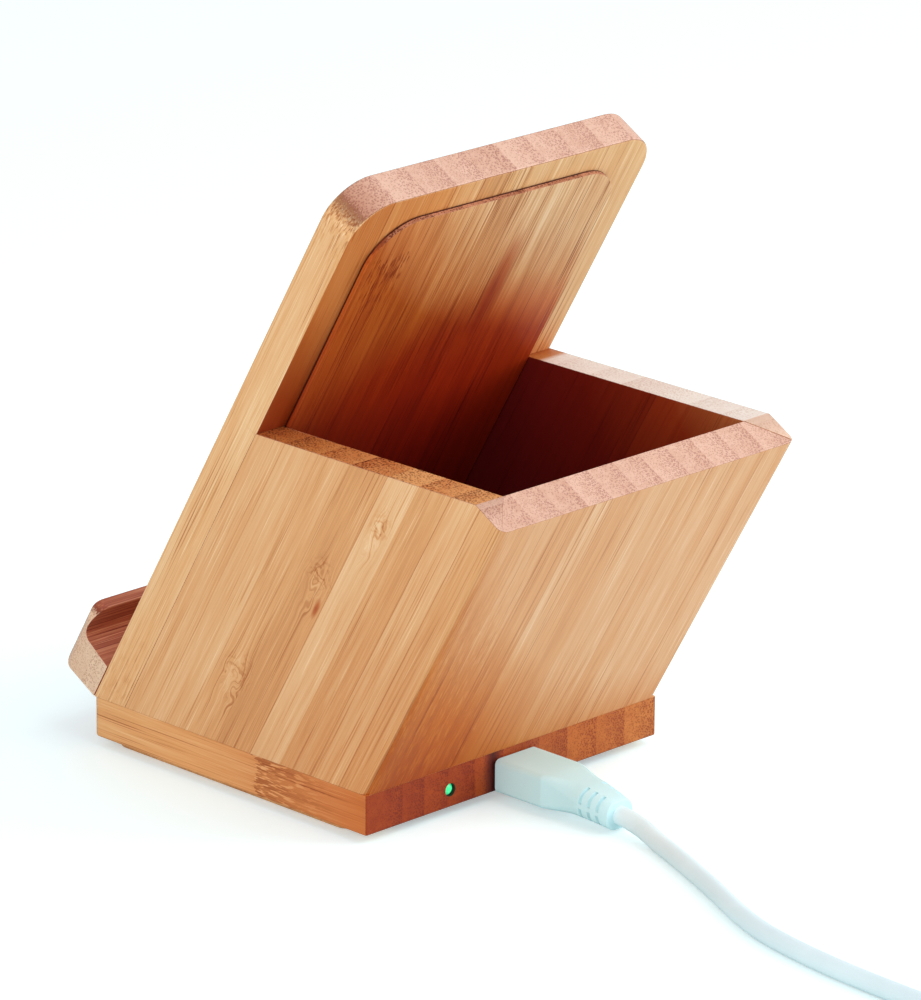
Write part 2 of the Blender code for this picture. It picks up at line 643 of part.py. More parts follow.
# The leads' bend through the base: back from the hole's line and up from the groove's line, as shares of
# the bend's height
LEAD_BEND_SHARES = [(0.04, 0.83), (0.08, 0.36), (0.25, 0.07), (0.5, 0), (2, 0)]


def inner_lead():
    """From the coil's inner end through the ferrite's bore to the channel behind it. Each point gives how
    far it lies across, below the coil's centre, and the share of the way back to the channel."""
    bore = FERRITE_BORE - LEAD_WIRE
    return [(COIL_WIRE + GAP, COIL_INNER_RADIUS, 0),
            (5 * LEAD_WIRE / 2, COIL_INNER_RADIUS - LEAD_WIRE / 2, 0),
            (7 * LEAD_WIRE / 2, bore + LEAD_WIRE / 4, 0.1),
            (7 * LEAD_WIRE / 2, bore - LEAD_WIRE, 0.4),
            (3 * LEAD_WIRE, bore - 5 * LEAD_WIRE / 4, 0.72),
            (2 * LEAD_WIRE, bore - LEAD_WIRE / 2, 1),
            (3 * LEAD_WIRE / 2, bore + 3 * LEAD_WIRE / 2, 1),
            (LEAD_SPREAD, COIL_INNER_RADIUS + 3 * LEAD_WIRE, 1),
            (LEAD_SPREAD, COIL_INNER_RADIUS + 6 * LEAD_WIRE, 1)]


def outer_lead():
    """From the coil's outer end past the ferrite's rim to the channel, given as for the inner lead."""
    passage = FERRITE_RADIUS + (LEAD_WIRE + POCKET_MARGIN) / 2
    return [(COIL_WIRE + GAP, COIL_OUTER_RADIUS, 0),
            (5 * LEAD_WIRE / 2, COIL_OUTER_RADIUS + LEAD_WIRE / 4, 0),
            (3 * LEAD_WIRE, passage - LEAD_WIRE / 5, 0.2),
            (5 * LEAD_WIRE / 2, passage - LEAD_WIRE / 7, 0.5),
            (2 * LEAD_WIRE, passage - LEAD_WIRE / 10, 0.85),
            (3 * LEAD_WIRE / 2, passage + LEAD_WIRE, 1),
            (LEAD_SPREAD, passage + 4 * LEAD_WIRE, 1),
            (LEAD_SPREAD, passage + 6 * LEAD_WIRE, 1)]


def make_coil_leads(wire):
    """Two wires from the coil's ends, down the rest's channel and the base's groove, to the circuit."""
    hole_y = BASE_FRONT - LEAD_DEPTH / SLOPE_RISE
    groove_z = CIRCUIT_BOTTOM - GAP - LEAD_WIRE / 2
    bend = BASE_TOP - groove_z
    for name, start, side in (("coil_lead_inner", inner_lead(), -1), ("coil_lead_outer", outer_lead(), 1)):
        x = side * LEAD_SPREAD
        route = [tilted_to_world((side * across, COIL_HEIGHT_ON_REST - down,
                                  COIL_DEPTH + (LEAD_DEPTH - COIL_DEPTH) * sunk))
                 for across, down, sunk in start]
        route.append(tilted_to_world((x, COIL_HEIGHT_ON_REST / 4, LEAD_DEPTH)))
        route.append(tilted_to_world((x, 3 * bend / 2, LEAD_DEPTH)))
        route.append(tilted_to_world((x, bend, LEAD_DEPTH)))
        for back, up in LEAD_BEND_SHARES:
            route.append(Vector((x, hole_y + bend * back, groove_z + bend * up)))
        route.append(Vector((x, CIRCUIT_FRONT + SOLDER_LAP, groove_z)))
        tube(name, smooth_route(route, LEAD_WIRE), LEAD_WIRE, COIL_BEVEL_RESOLUTION, wire)


def board_screw_places():
    x = CIRCUIT_WIDTH / 2 - CIRCUIT_SHOULDER / 2
    middle = (CIRCUIT_FRONT + CIRCUIT_BACK) / 2
    reach = CIRCUIT_DEPTH / 2 - CIRCUIT_SHOULDER
    return [(side * x, middle + end * reach) for side in (1, -1) for end in (1, -1)]


def cover_screw_places():
    x = COVER_HALF_WIDTH - COVER_SEAT / 2
    front = COVER_FRONT + COVER_SEAT / 2
    back = BASE_BACK - PAD_INSET_BACK - COVER_SEAT / 2
    return [(side * x, y) for side in (1, -1) for y in (front, back)]


def make_circuit_board(resin):
    bm = prism(rounded_polygon(rectangle(CIRCUIT_WIDTH / 2, CIRCUIT_FRONT, CIRCUIT_BACK),
                               [CIRCUIT_CORNER] * 4, SMALL_QUARTER_STEPS), CIRCUIT_BOTTOM, CIRCUIT_TOP)
    board = add_object("circuit_board", mesh_from(bm, "circuit_board", True), resin)
    low, high = CIRCUIT_BOTTOM - OVERRUN, CIRCUIT_TOP + OVERRUN
    socket_room = SOCKET_OUTER_WIDTH / 2 + GAP
    cut(board, "socket_notch", prism(
        rectangle(socket_room, SOCKET_MOUTH - SOCKET_LENGTH - GAP, CIRCUIT_BACK + OVERRUN), low, high))
    light_room = LIGHT_FLANGE_RADIUS + GAP
    notch = prism(rectangle(light_room, CIRCUIT_BACK - LIGHT_FLANGE - GAP, CIRCUIT_BACK + OVERRUN), low, high)
    cut(board, "light_notch", notch, place=(LIGHT_OFFSET, 0, 0))
    hole = [(0, 0), (BOARD_SCREW_SHANK + GAP, 0), (BOARD_SCREW_SHANK + GAP, high - low), (0, high - low)]
    for index, (x, y) in enumerate(board_screw_places()):
        cut(board, f"board_hole_{index}", turned(hole, Matrix.Translation((x, y, low)), SCREW_SIDES))


def block(length, width, height, corner=0.0):
    """Component centred on its own origin, which lies on its lower face."""
    outline = rounded_polygon(rectangle(length / 2, -width / 2, width / 2), [corner] * 4, SMALL_QUARTER_STEPS)
    return prism(outline, 0, height)


def make_components(black, ceramic, grey):
    middle = (CIRCUIT_FRONT + CIRCUIT_BACK) / 2
    seat = CIRCUIT_TOP + GAP
    chip = add_object("controller_chip", mesh_from(block(CHIP_SIZE, CHIP_SIZE, CHIP_HEIGHT),
                                                   "controller_chip"), black)
    chip.location = (0, middle, seat)
    driver_x = CHIP_SIZE / 2 + COMPONENT_SPACING + DRIVER_WIDTH / 2
    driver = mesh_from(block(DRIVER_WIDTH, DRIVER_LENGTH, DRIVER_HEIGHT), "driver_chip")
    copies("driver_chip", driver, black, [(side * driver_x, middle, seat) for side in (1, -1)])
    capacitor_y = middle - CHIP_SIZE / 2 - COMPONENT_SPACING - CAPACITOR_LENGTH / 2
    pitch = CAPACITOR_WIDTH + COMPONENT_SPACING
    capacitor = mesh_from(block(CAPACITOR_WIDTH, CAPACITOR_LENGTH, CAPACITOR_HEIGHT), "resonance_capacitor")
    copies("resonance_capacitor", capacitor, ceramic,
           [((index - (CAPACITOR_COUNT - 1) / 2) * pitch, capacitor_y, seat)
            for index in range(CAPACITOR_COUNT)])
    choke = add_object("choke", mesh_from(block(CHOKE_SIZE, CHOKE_SIZE, CHOKE_HEIGHT, CHOKE_CORNER),
                                          "choke"), grey)
    choke.location = (-driver_x - DRIVER_WIDTH / 2,
                      middle + DRIVER_LENGTH / 2 + COMPONENT_SPACING + CHOKE_SIZE / 2, seat)


def make_socket(steel, plastic):
    """Metal shell with chamfered lower corners, open to the back, and the contact tongue inside it."""
    outer = socket_outline(SOCKET_OUTER_WIDTH, SOCKET_OUTER_HEIGHT, SOCKET_CHAMFER)
    inner = socket_outline(SOCKET_INNER_WIDTH, SOCKET_INNER_HEIGHT, SOCKET_CHAMFER - SOCKET_WALL / 2)
    rear = SOCKET_MOUTH - SOCKET_LENGTH
    shell = hollow_nose(outer, inner, SOCKET_MOUTH, rear, rear + SOCKET_WALL)
    add_object("socket_shell", mesh_from(shell, "socket_shell"), steel)
    block = socket_outline(SOCKET_INNER_WIDTH - 2 * RUNNING_GAP, SOCKET_INNER_HEIGHT - 2 * RUNNING_GAP,
                           SOCKET_CHAMFER - SOCKET_WALL / 2)
    start = rear + SOCKET_WALL + GAP
    tongue_outline = section(TONGUE_WIDTH, TONGUE_THICKNESS, 0, 0, PORT_Z)
    bm = loft([(start, block), (start + SOCKET_BLOCK, block)])
    tongue = add_object("socket_tongue", mesh_from(bm, "socket_tongue"), plastic)
    cut(tongue, "tongue_bar", loft([(start + SOCKET_BLOCK / 2, tongue_outline),
                                    (start + SOCKET_BLOCK + TONGUE_LENGTH, tongue_outline)]),
        operation="UNION")


def socket_outline(width, height, chamfer):
    """Flat outline whose two lower corners are cut off, as (x, z) points about the port's axis."""
    half, low, high = width / 2, PORT_Z - height / 2, PORT_Z + height / 2
    return [(half - chamfer, low), (half, low + chamfer), (half, high), (-half, high),
            (-half, low + chamfer), (-half + chamfer, low)]


def make_status_light(lens):
    """Lens with a flange and a domed tip, seen through the bore in the base's back."""
    tip = -LIGHT_RECESS
    dome = [(radius, height) for height, radius in
            arc(tip - LIGHT_RADIUS, 0, LIGHT_RADIUS, 90, 0, QUARTER_STEPS)][:-1]
    flange = -PORT_WALL - GAP
    profile = [(0, flange - LIGHT_FLANGE), (LIGHT_FLANGE_RADIUS, flange - LIGHT_FLANGE),
               (LIGHT_FLANGE_RADIUS, flange), (LIGHT_RADIUS, flange)] + dome + [(0, tip)]
    place = Matrix.Translation((LIGHT_OFFSET, BASE_BACK, LIGHT_Z)) @ Matrix.Rotation(
        math.radians(-90), 4, "X")
    add_object("status_light", mesh_from(turned(profile, place, SCREW_SIDES), "status_light", True), lens)


def make_bottom_cover(plastic):
    bm = prism(rounded_polygon(rectangle(COVER_HALF_WIDTH, COVER_FRONT, COVER_BACK), [COVER_CORNER] * 4,
                               SMALL_QUARTER_STEPS), BASE_BOTTOM, COVER_TOP)
    cover = add_object("bottom_cover", mesh_from(bm, "bottom_cover", True), plastic)
    for index, (x, y) in enumerate(cover_screw_places()):
        hole = countersunk(GAP, OVERRUN, COVER_THICKNESS + OVERRUN)
        cut(cover, f"cover_hole_{index}", turned(hole, Matrix.Translation((x, y, BASE_BOTTOM)), SCREW_SIDES))


def countersunk(room, below, length):
    """Profile of a countersunk screw whose head starts at the cover's lower face; room widens it."""
    head, shank = COVER_SCREW_HEAD + room, COVER_SCREW_SHANK + room
    profile = [(0, -below), (head, -below), (shank, COVER_SCREW_HEAD_HEIGHT), (shank, length), (0, length)]
    if below > 0:
        profile.insert(2, (head, 0))
    return profile


def cross_outline(length, width):
    """Outline of a cross recess."""
    far, near = length / 2, width / 2
    quarter = [(near, near), (near, far), (-near, far)]
    outline = []
    for turn in range(4):
        angle = Matrix.Rotation(turn * math.pi / 2, 2)
        outline += [tuple(angle @ Vector(point)) for point in quarter]
    return outline


def screw_mesh(name, profile, top, recess_length):
    """A screw with its head down and a cross recess in the head's face, at the height named top."""
    screw = add_object(name, mesh_from(turned(profile, Matrix.Identity(4), SCREW_SIDES), name, True), None)
    recess = cross_outline(recess_length, SCREW_RECESS_WIDTH)
    cut(screw, f"{name}_recess", prism(recess, top - OVERRUN, top + SCREW_RECESS_DEPTH))
    return finished_mesh(screw)


def make_screws(steel):
    profile = countersunk(0, 0, COVER_THICKNESS + COVER_SCREW_DEPTH - GAP)
    screw = screw_mesh("cover_screw", profile, 0, COVER_SCREW_HEAD)
    copies("cover_screw", screw, steel, [(x, y, BASE_BOTTOM + GAP / 2) for x, y in cover_screw_places()])
    low = -BOARD_SCREW_HEAD_HEIGHT
    tip = GAP + CIRCUIT_THICKNESS + BOARD_SCREW_DEPTH
    profile = [(0, low), (BOARD_SCREW_HEAD - GAP, low), (BOARD_SCREW_HEAD, low + GAP), (BOARD_SCREW_HEAD, 0),
               (BOARD_SCREW_SHANK, 0), (BOARD_SCREW_SHANK, tip), (0, tip)]
    screw = screw_mesh("board_screw", profile, low, BOARD_SCREW_HEAD)
    copies("board_screw", screw, steel, [(x, y, CIRCUIT_BOTTOM - GAP) for x, y in board_screw_places()])


# Lead

def slotted(points, width, height, centre_z, depth):
    """Section of the strain relief drawn in, except at the webs left and right, above and below."""
    drawn = []
    side_web_share, flat_web_share = 0.16, 0.42
    for x, z in points:
        across, up = x / (width / 2), (z - centre_z) / (height / 2)
        if abs(up) < side_web_share or abs(across) < flat_web_share:
            drawn.append((x, z))
            continue
        length = math.hypot(x, z - centre_z)
        keep = (length - depth) / length
        drawn.append((x * keep, centre_z + (z - centre_z) * keep))
    return drawn


def relief_section(share, depth):
    """Section of the drooping, tapering strain relief; share runs from 0 at its start to 1 at its end."""
    width = RELIEF_START_WIDTH + (RELIEF_END_WIDTH - RELIEF_START_WIDTH) * share
    height = RELIEF_START_HEIGHT + (RELIEF_END_HEIGHT - RELIEF_START_HEIGHT) * share
    along = PLUG_BODY_LENGTH + PLUG_TAPER_LENGTH + RELIEF_LENGTH * share
    centre_z = PORT_Z - droop(along)
    corner = height / 2 - PLUG_NOSE_WALL
    points = dense(section(width, height, corner, 0, centre_z, QUARTER_STEPS))
    if depth > 0:
        points = slotted(points, width, height, centre_z, depth)
    return PLUG_FACE + along, points


def dense(points):
    """The straight runs of a section, halved, so that webs can start within them."""
    result = []
    for index, point in enumerate(points):
        after = points[(index + 1) % len(points)]
        result.append(point)
        result.append(((point[0] + after[0]) / 2, (point[1] + after[1]) / 2))
    return result


def droop(along):
    """How far the plug's axis sinks below the port's axis, at a distance from the plug's face."""
    past = max(0.0, along - PLUG_BODY_LENGTH) / (PLUG_LENGTH - PLUG_BODY_LENGTH)
    return RELIEF_DROOP * past ** 2


def make_plug_housing(plastic):
    """Moulded grip with rounded edges, a tapered neck and a slotted strain relief."""
    sections = []
    for inset, along in ((PLUG_NOSE_WALL, 0), (0, PLUG_NOSE_WALL), (0, PLUG_BODY_LENGTH)):
        width, height = PLUG_WIDTH - 2 * inset, PLUG_HEIGHT - 2 * inset
        points = section(width, height, PLUG_CORNER, 0, PORT_Z, QUARTER_STEPS)
        sections.append((PLUG_FACE + along, dense(points)))
    for share in (0.3, 0.6):
        eased = share * (2 - share)
        width = PLUG_WIDTH + (RELIEF_START_WIDTH - PLUG_WIDTH) * eased
        height = PLUG_HEIGHT + (RELIEF_START_HEIGHT - PLUG_HEIGHT) * eased
        corner = PLUG_CORNER + (RELIEF_START_HEIGHT / 2 - PLUG_NOSE_WALL - PLUG_CORNER) * eased
        along = PLUG_BODY_LENGTH + PLUG_TAPER_LENGTH * share
        points = section(width, height, corner, 0, PORT_Z - droop(along), QUARTER_STEPS)
        sections.append((PLUG_FACE + along, dense(points)))
    sections.append(relief_section(0, 0))
    wall = SLOT_WIDTH / 6
    for index in range(SLOT_COUNT):
        start = SLOT_PITCH * (index + 0.5) - SLOT_WIDTH / 2
        for along, depth in ((start, 0), (start + wall, SLOT_DEPTH),
                             (start + SLOT_WIDTH - wall, SLOT_DEPTH), (start + SLOT_WIDTH, 0)):
            sections.append(relief_section(along / RELIEF_LENGTH, depth))
    sections.append(relief_section(1 - PLUG_NOSE_WALL / RELIEF_LENGTH, 0))
    y, points = relief_section(1, 0)
    shrink = 1 - 2 * PLUG_NOSE_WALL / RELIEF_END_HEIGHT
    centre_z = CABLE_EXIT.z
    sections.append((y, [(x * shrink, centre_z + (z - centre_z) * shrink) for x, z in points]))
    add_object("lead_plug_housing", mesh_from(loft(sections), "lead_plug_housing", True), plastic)


def make_plug_nose(steel):
    width = SOCKET_INNER_WIDTH - 2 * RUNNING_GAP
    height = SOCKET_INNER_HEIGHT - 2 * RUNNING_GAP
    outer = socket_outline(width, height, SOCKET_CHAMFER)
    inner = socket_outline(width - 2 * PLUG_NOSE_WALL, height - 2 * PLUG_NOSE_WALL,
                           SOCKET_CHAMFER - PLUG_NOSE_WALL / 2)
    root = PLUG_FACE - GAP
    nose = hollow_nose(outer, inner, root - PLUG_NOSE_LENGTH, root, root - PLUG_NOSE_WALL)
    add_object("lead_plug_shell", mesh_from(nose, "lead_plug_shell"), steel)


# The cable's route on the surface: x from the middle, y from the base's back face
RUN_POINTS = [(0.0, 0.0288), (0.0004, 0.0345), (0.0028, 0.0422), (0.0073, 0.0533), (0.0124, 0.0648),
              (0.0180, 0.0767), (0.0215, 0.0867), (0.0241, 0.1020), (0.0252, 0.1180), (0.0255, 0.1370),
              (0.0255, 0.1560), (0.0255, 0.1660)]
# Each point of the tail also has the share of the way down from the coil's upper layer
TAIL_POINTS = [(0.0311, 0.1538, 0.0), (0.0272, 0.1577, 0.0), (0.0222, 0.1631, 0.0), (0.0185, 0.1675, 0.35),
               (0.0155, 0.1713, 0.8), (0.0130, 0.1747, 1.0)]
COIL_CENTRE_X = RUN_POINTS[-1][0] + LOOP_OUTER_RADIUS
COIL_CENTRE_Y = BASE_BACK + RUN_POINTS[-1][1] + CABLE + GAP


def make_cable(jacket):
    heights = [CABLE_EXIT.z, (CABLE_EXIT.z + CABLE_LOW) / 2] + [CABLE_LOW] * (len(RUN_POINTS) - 4)
    heights += [LOOP_LOW, LOOP_LOW]
    route = [(x, BASE_BACK + y, height) for (x, y), height in zip(RUN_POINTS, heights)]
    run = smooth_route(route, 2.5 * CABLE)
    tube("lead_cable_run", run, CABLE, RUN_BEVEL_RESOLUTION, jacket)
    coil = coil_points()
    tube("lead_cable_coil", coil, CABLE, COIL_BEVEL_RESOLUTION, jacket)
    tail = tail_points()
    tube("lead_cable_tail", tail, CABLE, RUN_BEVEL_RESOLUTION, jacket)
    report_cable([run, coil, tail], coil)


def coil_points():
    """Two layers of loops: in on the lower one, out on the upper one, climbing where they turn back. The
    last loop stops an eighth of a turn early, where the cable leaves the coil across its own run."""
    points = []
    for step in range(COIL_LOOPS * LOOP_POINTS - LOOP_POINTS // 8 + 1):
        loops = step / LOOP_POINTS
        middle = COIL_LOOPS / 2
        radius = LOOP_INNER_RADIUS + COIL_PITCH * abs(middle - loops)
        climb = min(1.0, max(0.0, (loops - middle) * 2 + 0.5))
        height = LOOP_LOW + COIL_PITCH * climb * climb * (3 - 2 * climb)
        angle = math.pi - math.tau * loops
        points.append(Vector((COIL_CENTRE_X + radius * math.cos(angle),
                              COIL_CENTRE_Y + radius * math.sin(angle), height)))
    start, end = points[0], points[-1]
    lead_in = Vector((start.x, start.y - CABLE, start.z))
    lead_out = end + Vector((math.sin(angle), -math.cos(angle), 0)) * CABLE
    return [lead_in] + points + [lead_out]


def tail_points():
    """From the coil's upper end down to the wide plug that lies beside it."""
    top = LOOP_LOW + COIL_PITCH
    low = WIDE_PLUG_HEIGHT / 2
    route = [(x, BASE_BACK + y, top + (low - top) * share) for x, y, share in TAIL_POINTS]
    before, end = coil_points()[-2:]
    route[0] = end + (end - before).normalized() * GAP
    return smooth_route(route, 2 * CABLE)


def report_cable(stretches, coil):
    """Print the cable's length and the coil's least gap to itself."""
    length = 0
    for points in stretches:
        length += sum((b - a).length for a, b in zip(points, points[1:]))
    least = min((a - b).length for index, a in enumerate(coil)
                for b in coil[index + LOOP_POINTS // 2:]) - CABLE
    print(f"cable length {length:.4f} m, least gap of the coil to itself {least * 1000:.2f} mm")


def make_cable_tie(strap):
    """Flat strap round the coil's loops, where the coil lies furthest from the stand."""
    inner_low = (LOOP_INNER_RADIUS - CABLE / 2 - GAP, LOOP_LOW - CABLE / 2 - GAP)
    inner_high = (LOOP_OUTER_RADIUS + CABLE / 2 + GAP, LOOP_LOW + COIL_PITCH + CABLE / 2 + GAP)
    corners = [inner_low, (inner_high[0], inner_low[1]), inner_high, (inner_low[0], inner_high[1])]
    inner = rounded_polygon(corners, [CABLE / 2] * 4, SMALL_QUARTER_STEPS)
    strap_corners = [(inner_low[0] - TIE_THICKNESS, inner_low[1] - TIE_THICKNESS),
                     (inner_high[0] + TIE_THICKNESS, inner_low[1] - TIE_THICKNESS),
                     (inner_high[0] + TIE_THICKNESS, inner_high[1] + TIE_THICKNESS),
                     (inner_low[0] - TIE_THICKNESS, inner_high[1] + TIE_THICKNESS)]
    outer = rounded_polygon(strap_corners, [CABLE / 2 + TIE_THICKNESS] * 4, SMALL_QUARTER_STEPS)
    bm = bmesh.new()
    rings = []
    for points, y in ((outer, -TIE_WIDTH / 2), (outer, TIE_WIDTH / 2), (inner, TIE_WIDTH / 2),
                      (inner, -TIE_WIDTH / 2)):
        rings.append([bm.verts.new((x, y, z)) for x, z in points])
    for lower, upper in zip(rings, rings[1:] + rings[:1]):
        for index in range(len(lower)):
            after = (index + 1) % len(lower)
            bm.faces.new((lower[index], lower[after], upper[after], upper[index]))
    tie = add_object("lead_cable_tie", mesh_from(bm, "lead_cable_tie", True), strap)
    tie.location = (COIL_CENTRE_X, COIL_CENTRE_Y, 0)


def make_wide_plug(plastic, steel, white):
    """The plug at the far end, drawn along Y and then laid in line with the cable's tail."""
    tail = tail_points()
    direction = (tail[-1] - tail[-2])
    turn = math.atan2(-direction.x, direction.y)
    frame = bpy.data.objects.new("wide_plug_frame", None)
    bpy.context.scene.collection.objects.link(frame)
    frame.location = tail[-1]
    frame.rotation_euler = (0, 0, turn)
    sections = []
    for along, width in ((GAP, WIDE_RELIEF_TIP), (GAP + WIDE_RELIEF_LENGTH, WIDE_RELIEF_ROOT)):
        sections.append((along, section(width, width, width / 2 - PLUG_NOSE_WALL, 0, 0, QUARTER_STEPS)))
    start = GAP + WIDE_RELIEF_LENGTH
    for along, inset in ((WIDE_PLUG_SHOULDER, 0), (WIDE_PLUG_BODY_LENGTH - PLUG_NOSE_WALL, 0),
                         (WIDE_PLUG_BODY_LENGTH, PLUG_NOSE_WALL)):
        sections.append((start + along, section(WIDE_PLUG_WIDTH - 2 * inset, WIDE_PLUG_HEIGHT - 2 * inset,
                                                PLUG_CORNER, 0, 0, QUARTER_STEPS)))
    add_object("wide_plug_housing", mesh_from(loft(sections), "wide_plug_housing", True), plastic, frame)
    root = start + WIDE_PLUG_BODY_LENGTH + GAP
    tip = root + WIDE_SHELL_LENGTH
    outer = section(WIDE_SHELL_WIDTH, WIDE_SHELL_HEIGHT, WIDE_SHELL_WALL, 0, 0)
    inner = section(WIDE_SHELL_WIDTH - 2 * WIDE_SHELL_WALL, WIDE_SHELL_HEIGHT - 2 * WIDE_SHELL_WALL,
                    WIDE_SHELL_WALL / 2, 0, 0)
    shell = hollow_nose(outer, inner, tip, root, root + WIDE_SHELL_WALL)
    add_object("wide_plug_shell", mesh_from(shell, "wide_plug_shell"), steel, frame)
    low = -WIDE_SHELL_HEIGHT / 2 + WIDE_SHELL_WALL + GAP
    half = WIDE_SHELL_WIDTH / 2 - WIDE_SHELL_WALL - GAP
    tongue = [(-half, low), (half, low), (half, low + WIDE_TONGUE_THICKNESS),
              (-half, low + WIDE_TONGUE_THICKNESS)]
    bm = loft([(root + WIDE_SHELL_WALL + GAP, tongue), (tip - GAP, tongue)])
    add_object("wide_plug_tongue", mesh_from(bm, "wide_plug_tongue"), white, frame)


def main():
    for item in list(bpy.data.objects):
        bpy.data.objects.remove(item, do_unlink=True)
    bamboo = material("carbonised bamboo", (0.62, 0.37, 0.18), 0.55)
    bamboo_ends = material("bamboo base", (0.45, 0.20, 0.09), 0.6)
    veneer = material("bamboo veneer", (0.70, 0.44, 0.22), 0.55)
    cork = material("cork rubber pad", (0.42, 0.24, 0.12), 0.9)
    black = material("black plastic", (0.02, 0.02, 0.02), 0.4)
    steel = material("plated steel", (0.72, 0.72, 0.70), 0.3, 1.0)
    ferrite = material("ferrite", (0.08, 0.08, 0.09), 0.7)
    copper = material("enamelled copper", (0.75, 0.32, 0.15), 0.35, 1.0)
    wire = material("black wire sleeve", (0.03, 0.03, 0.03), 0.5)
    resin = material("green circuit board", (0.02, 0.16, 0.06), 0.45)
    ceramic = material("capacitor ceramic", (0.45, 0.33, 0.20), 0.5)
    grey = material("choke core", (0.20, 0.20, 0.21), 0.6)
    lens = material("green lens", (0.12, 0.80, 0.35), 0.2)
    white = material("white soft plastic", (0.80, 0.84, 0.83), 0.45)
    frame = make_tilted_frame()
    make_base_block(bamboo_ends)
    make_pad(cork)
    make_rest_board(frame, bamboo)
    make_cover_panel(frame, veneer)
    make_ledge(frame, bamboo)
    make_pen_box(bamboo)
    make_ferrite(frame, ferrite)
    make_charging_coil(frame, copper)
    make_coil_leads(wire)
    make_circuit_board(resin)
    make_components(black, ceramic, grey)
    make_socket(steel, black)
    make_status_light(lens)
    make_bottom_cover(black)
    make_screws(steel)
    make_plug_housing(white)
    make_plug_nose(steel)
    make_cable(white)
    make_cable_tie(black)
    make_wide_plug(white, steel, white)


main()
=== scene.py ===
import math
from functools import partial

import bmesh
import bpy
from mathutils import Matrix, Vector


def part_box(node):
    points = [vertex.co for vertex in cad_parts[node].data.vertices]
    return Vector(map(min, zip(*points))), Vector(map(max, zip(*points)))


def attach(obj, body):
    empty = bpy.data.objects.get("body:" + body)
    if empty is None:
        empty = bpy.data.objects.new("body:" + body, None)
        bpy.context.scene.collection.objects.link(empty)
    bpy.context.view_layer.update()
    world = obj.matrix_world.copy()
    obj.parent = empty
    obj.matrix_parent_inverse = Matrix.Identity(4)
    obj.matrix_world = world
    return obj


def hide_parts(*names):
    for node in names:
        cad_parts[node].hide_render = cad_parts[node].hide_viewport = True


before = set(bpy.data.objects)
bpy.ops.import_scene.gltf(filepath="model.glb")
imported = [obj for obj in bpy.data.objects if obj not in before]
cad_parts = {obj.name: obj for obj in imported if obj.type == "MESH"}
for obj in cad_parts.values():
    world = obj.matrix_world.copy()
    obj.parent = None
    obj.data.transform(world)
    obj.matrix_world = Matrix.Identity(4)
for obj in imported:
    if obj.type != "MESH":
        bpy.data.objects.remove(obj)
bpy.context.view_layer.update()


def corners_of(node):
    """Lowest and highest corner of one of the frame's solids."""
    return [Vector(corner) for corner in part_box(node)]


MM = 0.001
SEAM = 0.00005               # glue line between sanded pieces of wood
FIT = 0.0003                 # gap that the frame's solids keep round what sits in them
PAST = 0.002                 # how far a cutter stands past what it cuts
SPARE = 0.01                 # wood and cutter below the line where a plank is sawn level
EASE = 0.00045               # sanded edges of the wood
FINE_EASE = 0.00012          # edges that only lost their burr

# The stand, as in its frame
REST_TILT = math.radians(60)
UP_REST = Vector((0, math.cos(REST_TILT), math.sin(REST_TILT)))
LEAN = math.cos(REST_TILT) / math.sin(REST_TILT)
LOW_BASE, HIGH_BASE = corners_of("base_block")
BASE_FRONT, BASE_BACK = LOW_BASE.y, HIGH_BASE.y
BASE_BOTTOM, BASE_TOP = LOW_BASE.z, HIGH_BASE.z
HALF_WIDTH = HIGH_BASE.x
FRONT_CORNER = 0.0014        # upright corners of the base on the phone's side
POCKET_CEILING = 0.0062      # of the circuit's pocket, above the base's underside
BOARD_SHOULDER = 0.004       # wood that the circuit board is screwed to
PAD_CORNER = 0.003
BOARD_THICKNESS = 0.0079
BOARD_LENGTH = 0.1375        # up the front face
BOARD_CORNER = 0.0088
COIL_POCKET, COIL_SKIN = 0.0252, 0.0035       # radius, and wood left between the coil and the phone
LEAD_GROOVE, LEAD_SKIN = 0.0025, 0.0059       # half width, and wood left in front of the coil's leads
PANEL_HALF_WIDTH = 0.0325
PANEL_LENGTH = 0.1318
PANEL_CORNER = 0.0104
PANEL_BACK = -0.0091         # out of the rest's front face
LEDGE_REACH, LEDGE_LIP = 0.01085, 0.0155      # out of the rest's front face, and up along it
LEDGE_FLOOR, LIP_FLOOR = 0.0080, 0.0093       # the channel's floor at the rest and at the lip
LIP_THICKNESS = 0.0024
LEDGE_EDGE, LIP_CORNER, CHANNEL_CORNER = 0.0030, 0.0045, 0.0020
WALL = 0.0072
BACK_WALL = 0.0079
BOX_HEIGHT = 0.0652
BOX_CORNER = 0.0020
RIM = BASE_TOP + BOX_HEIGHT
BOARD_BACK = BASE_FRONT + BOARD_THICKNESS / UP_REST.z
BOX_INNER_BACK = BASE_BACK - BACK_WALL / UP_REST.z
MITRE_GLUE = {1: 0.00004, -1: 0.00020}        # glue line in the left and the right rear corner
LIGHT_X, LIGHT_Z = 0.0174, 0.0055
LIGHT_BORE = 0.00135
DOME_RISE = 0.0007
REAR_RISE = 0.2              # of the light's hidden end, as a share of the dome's

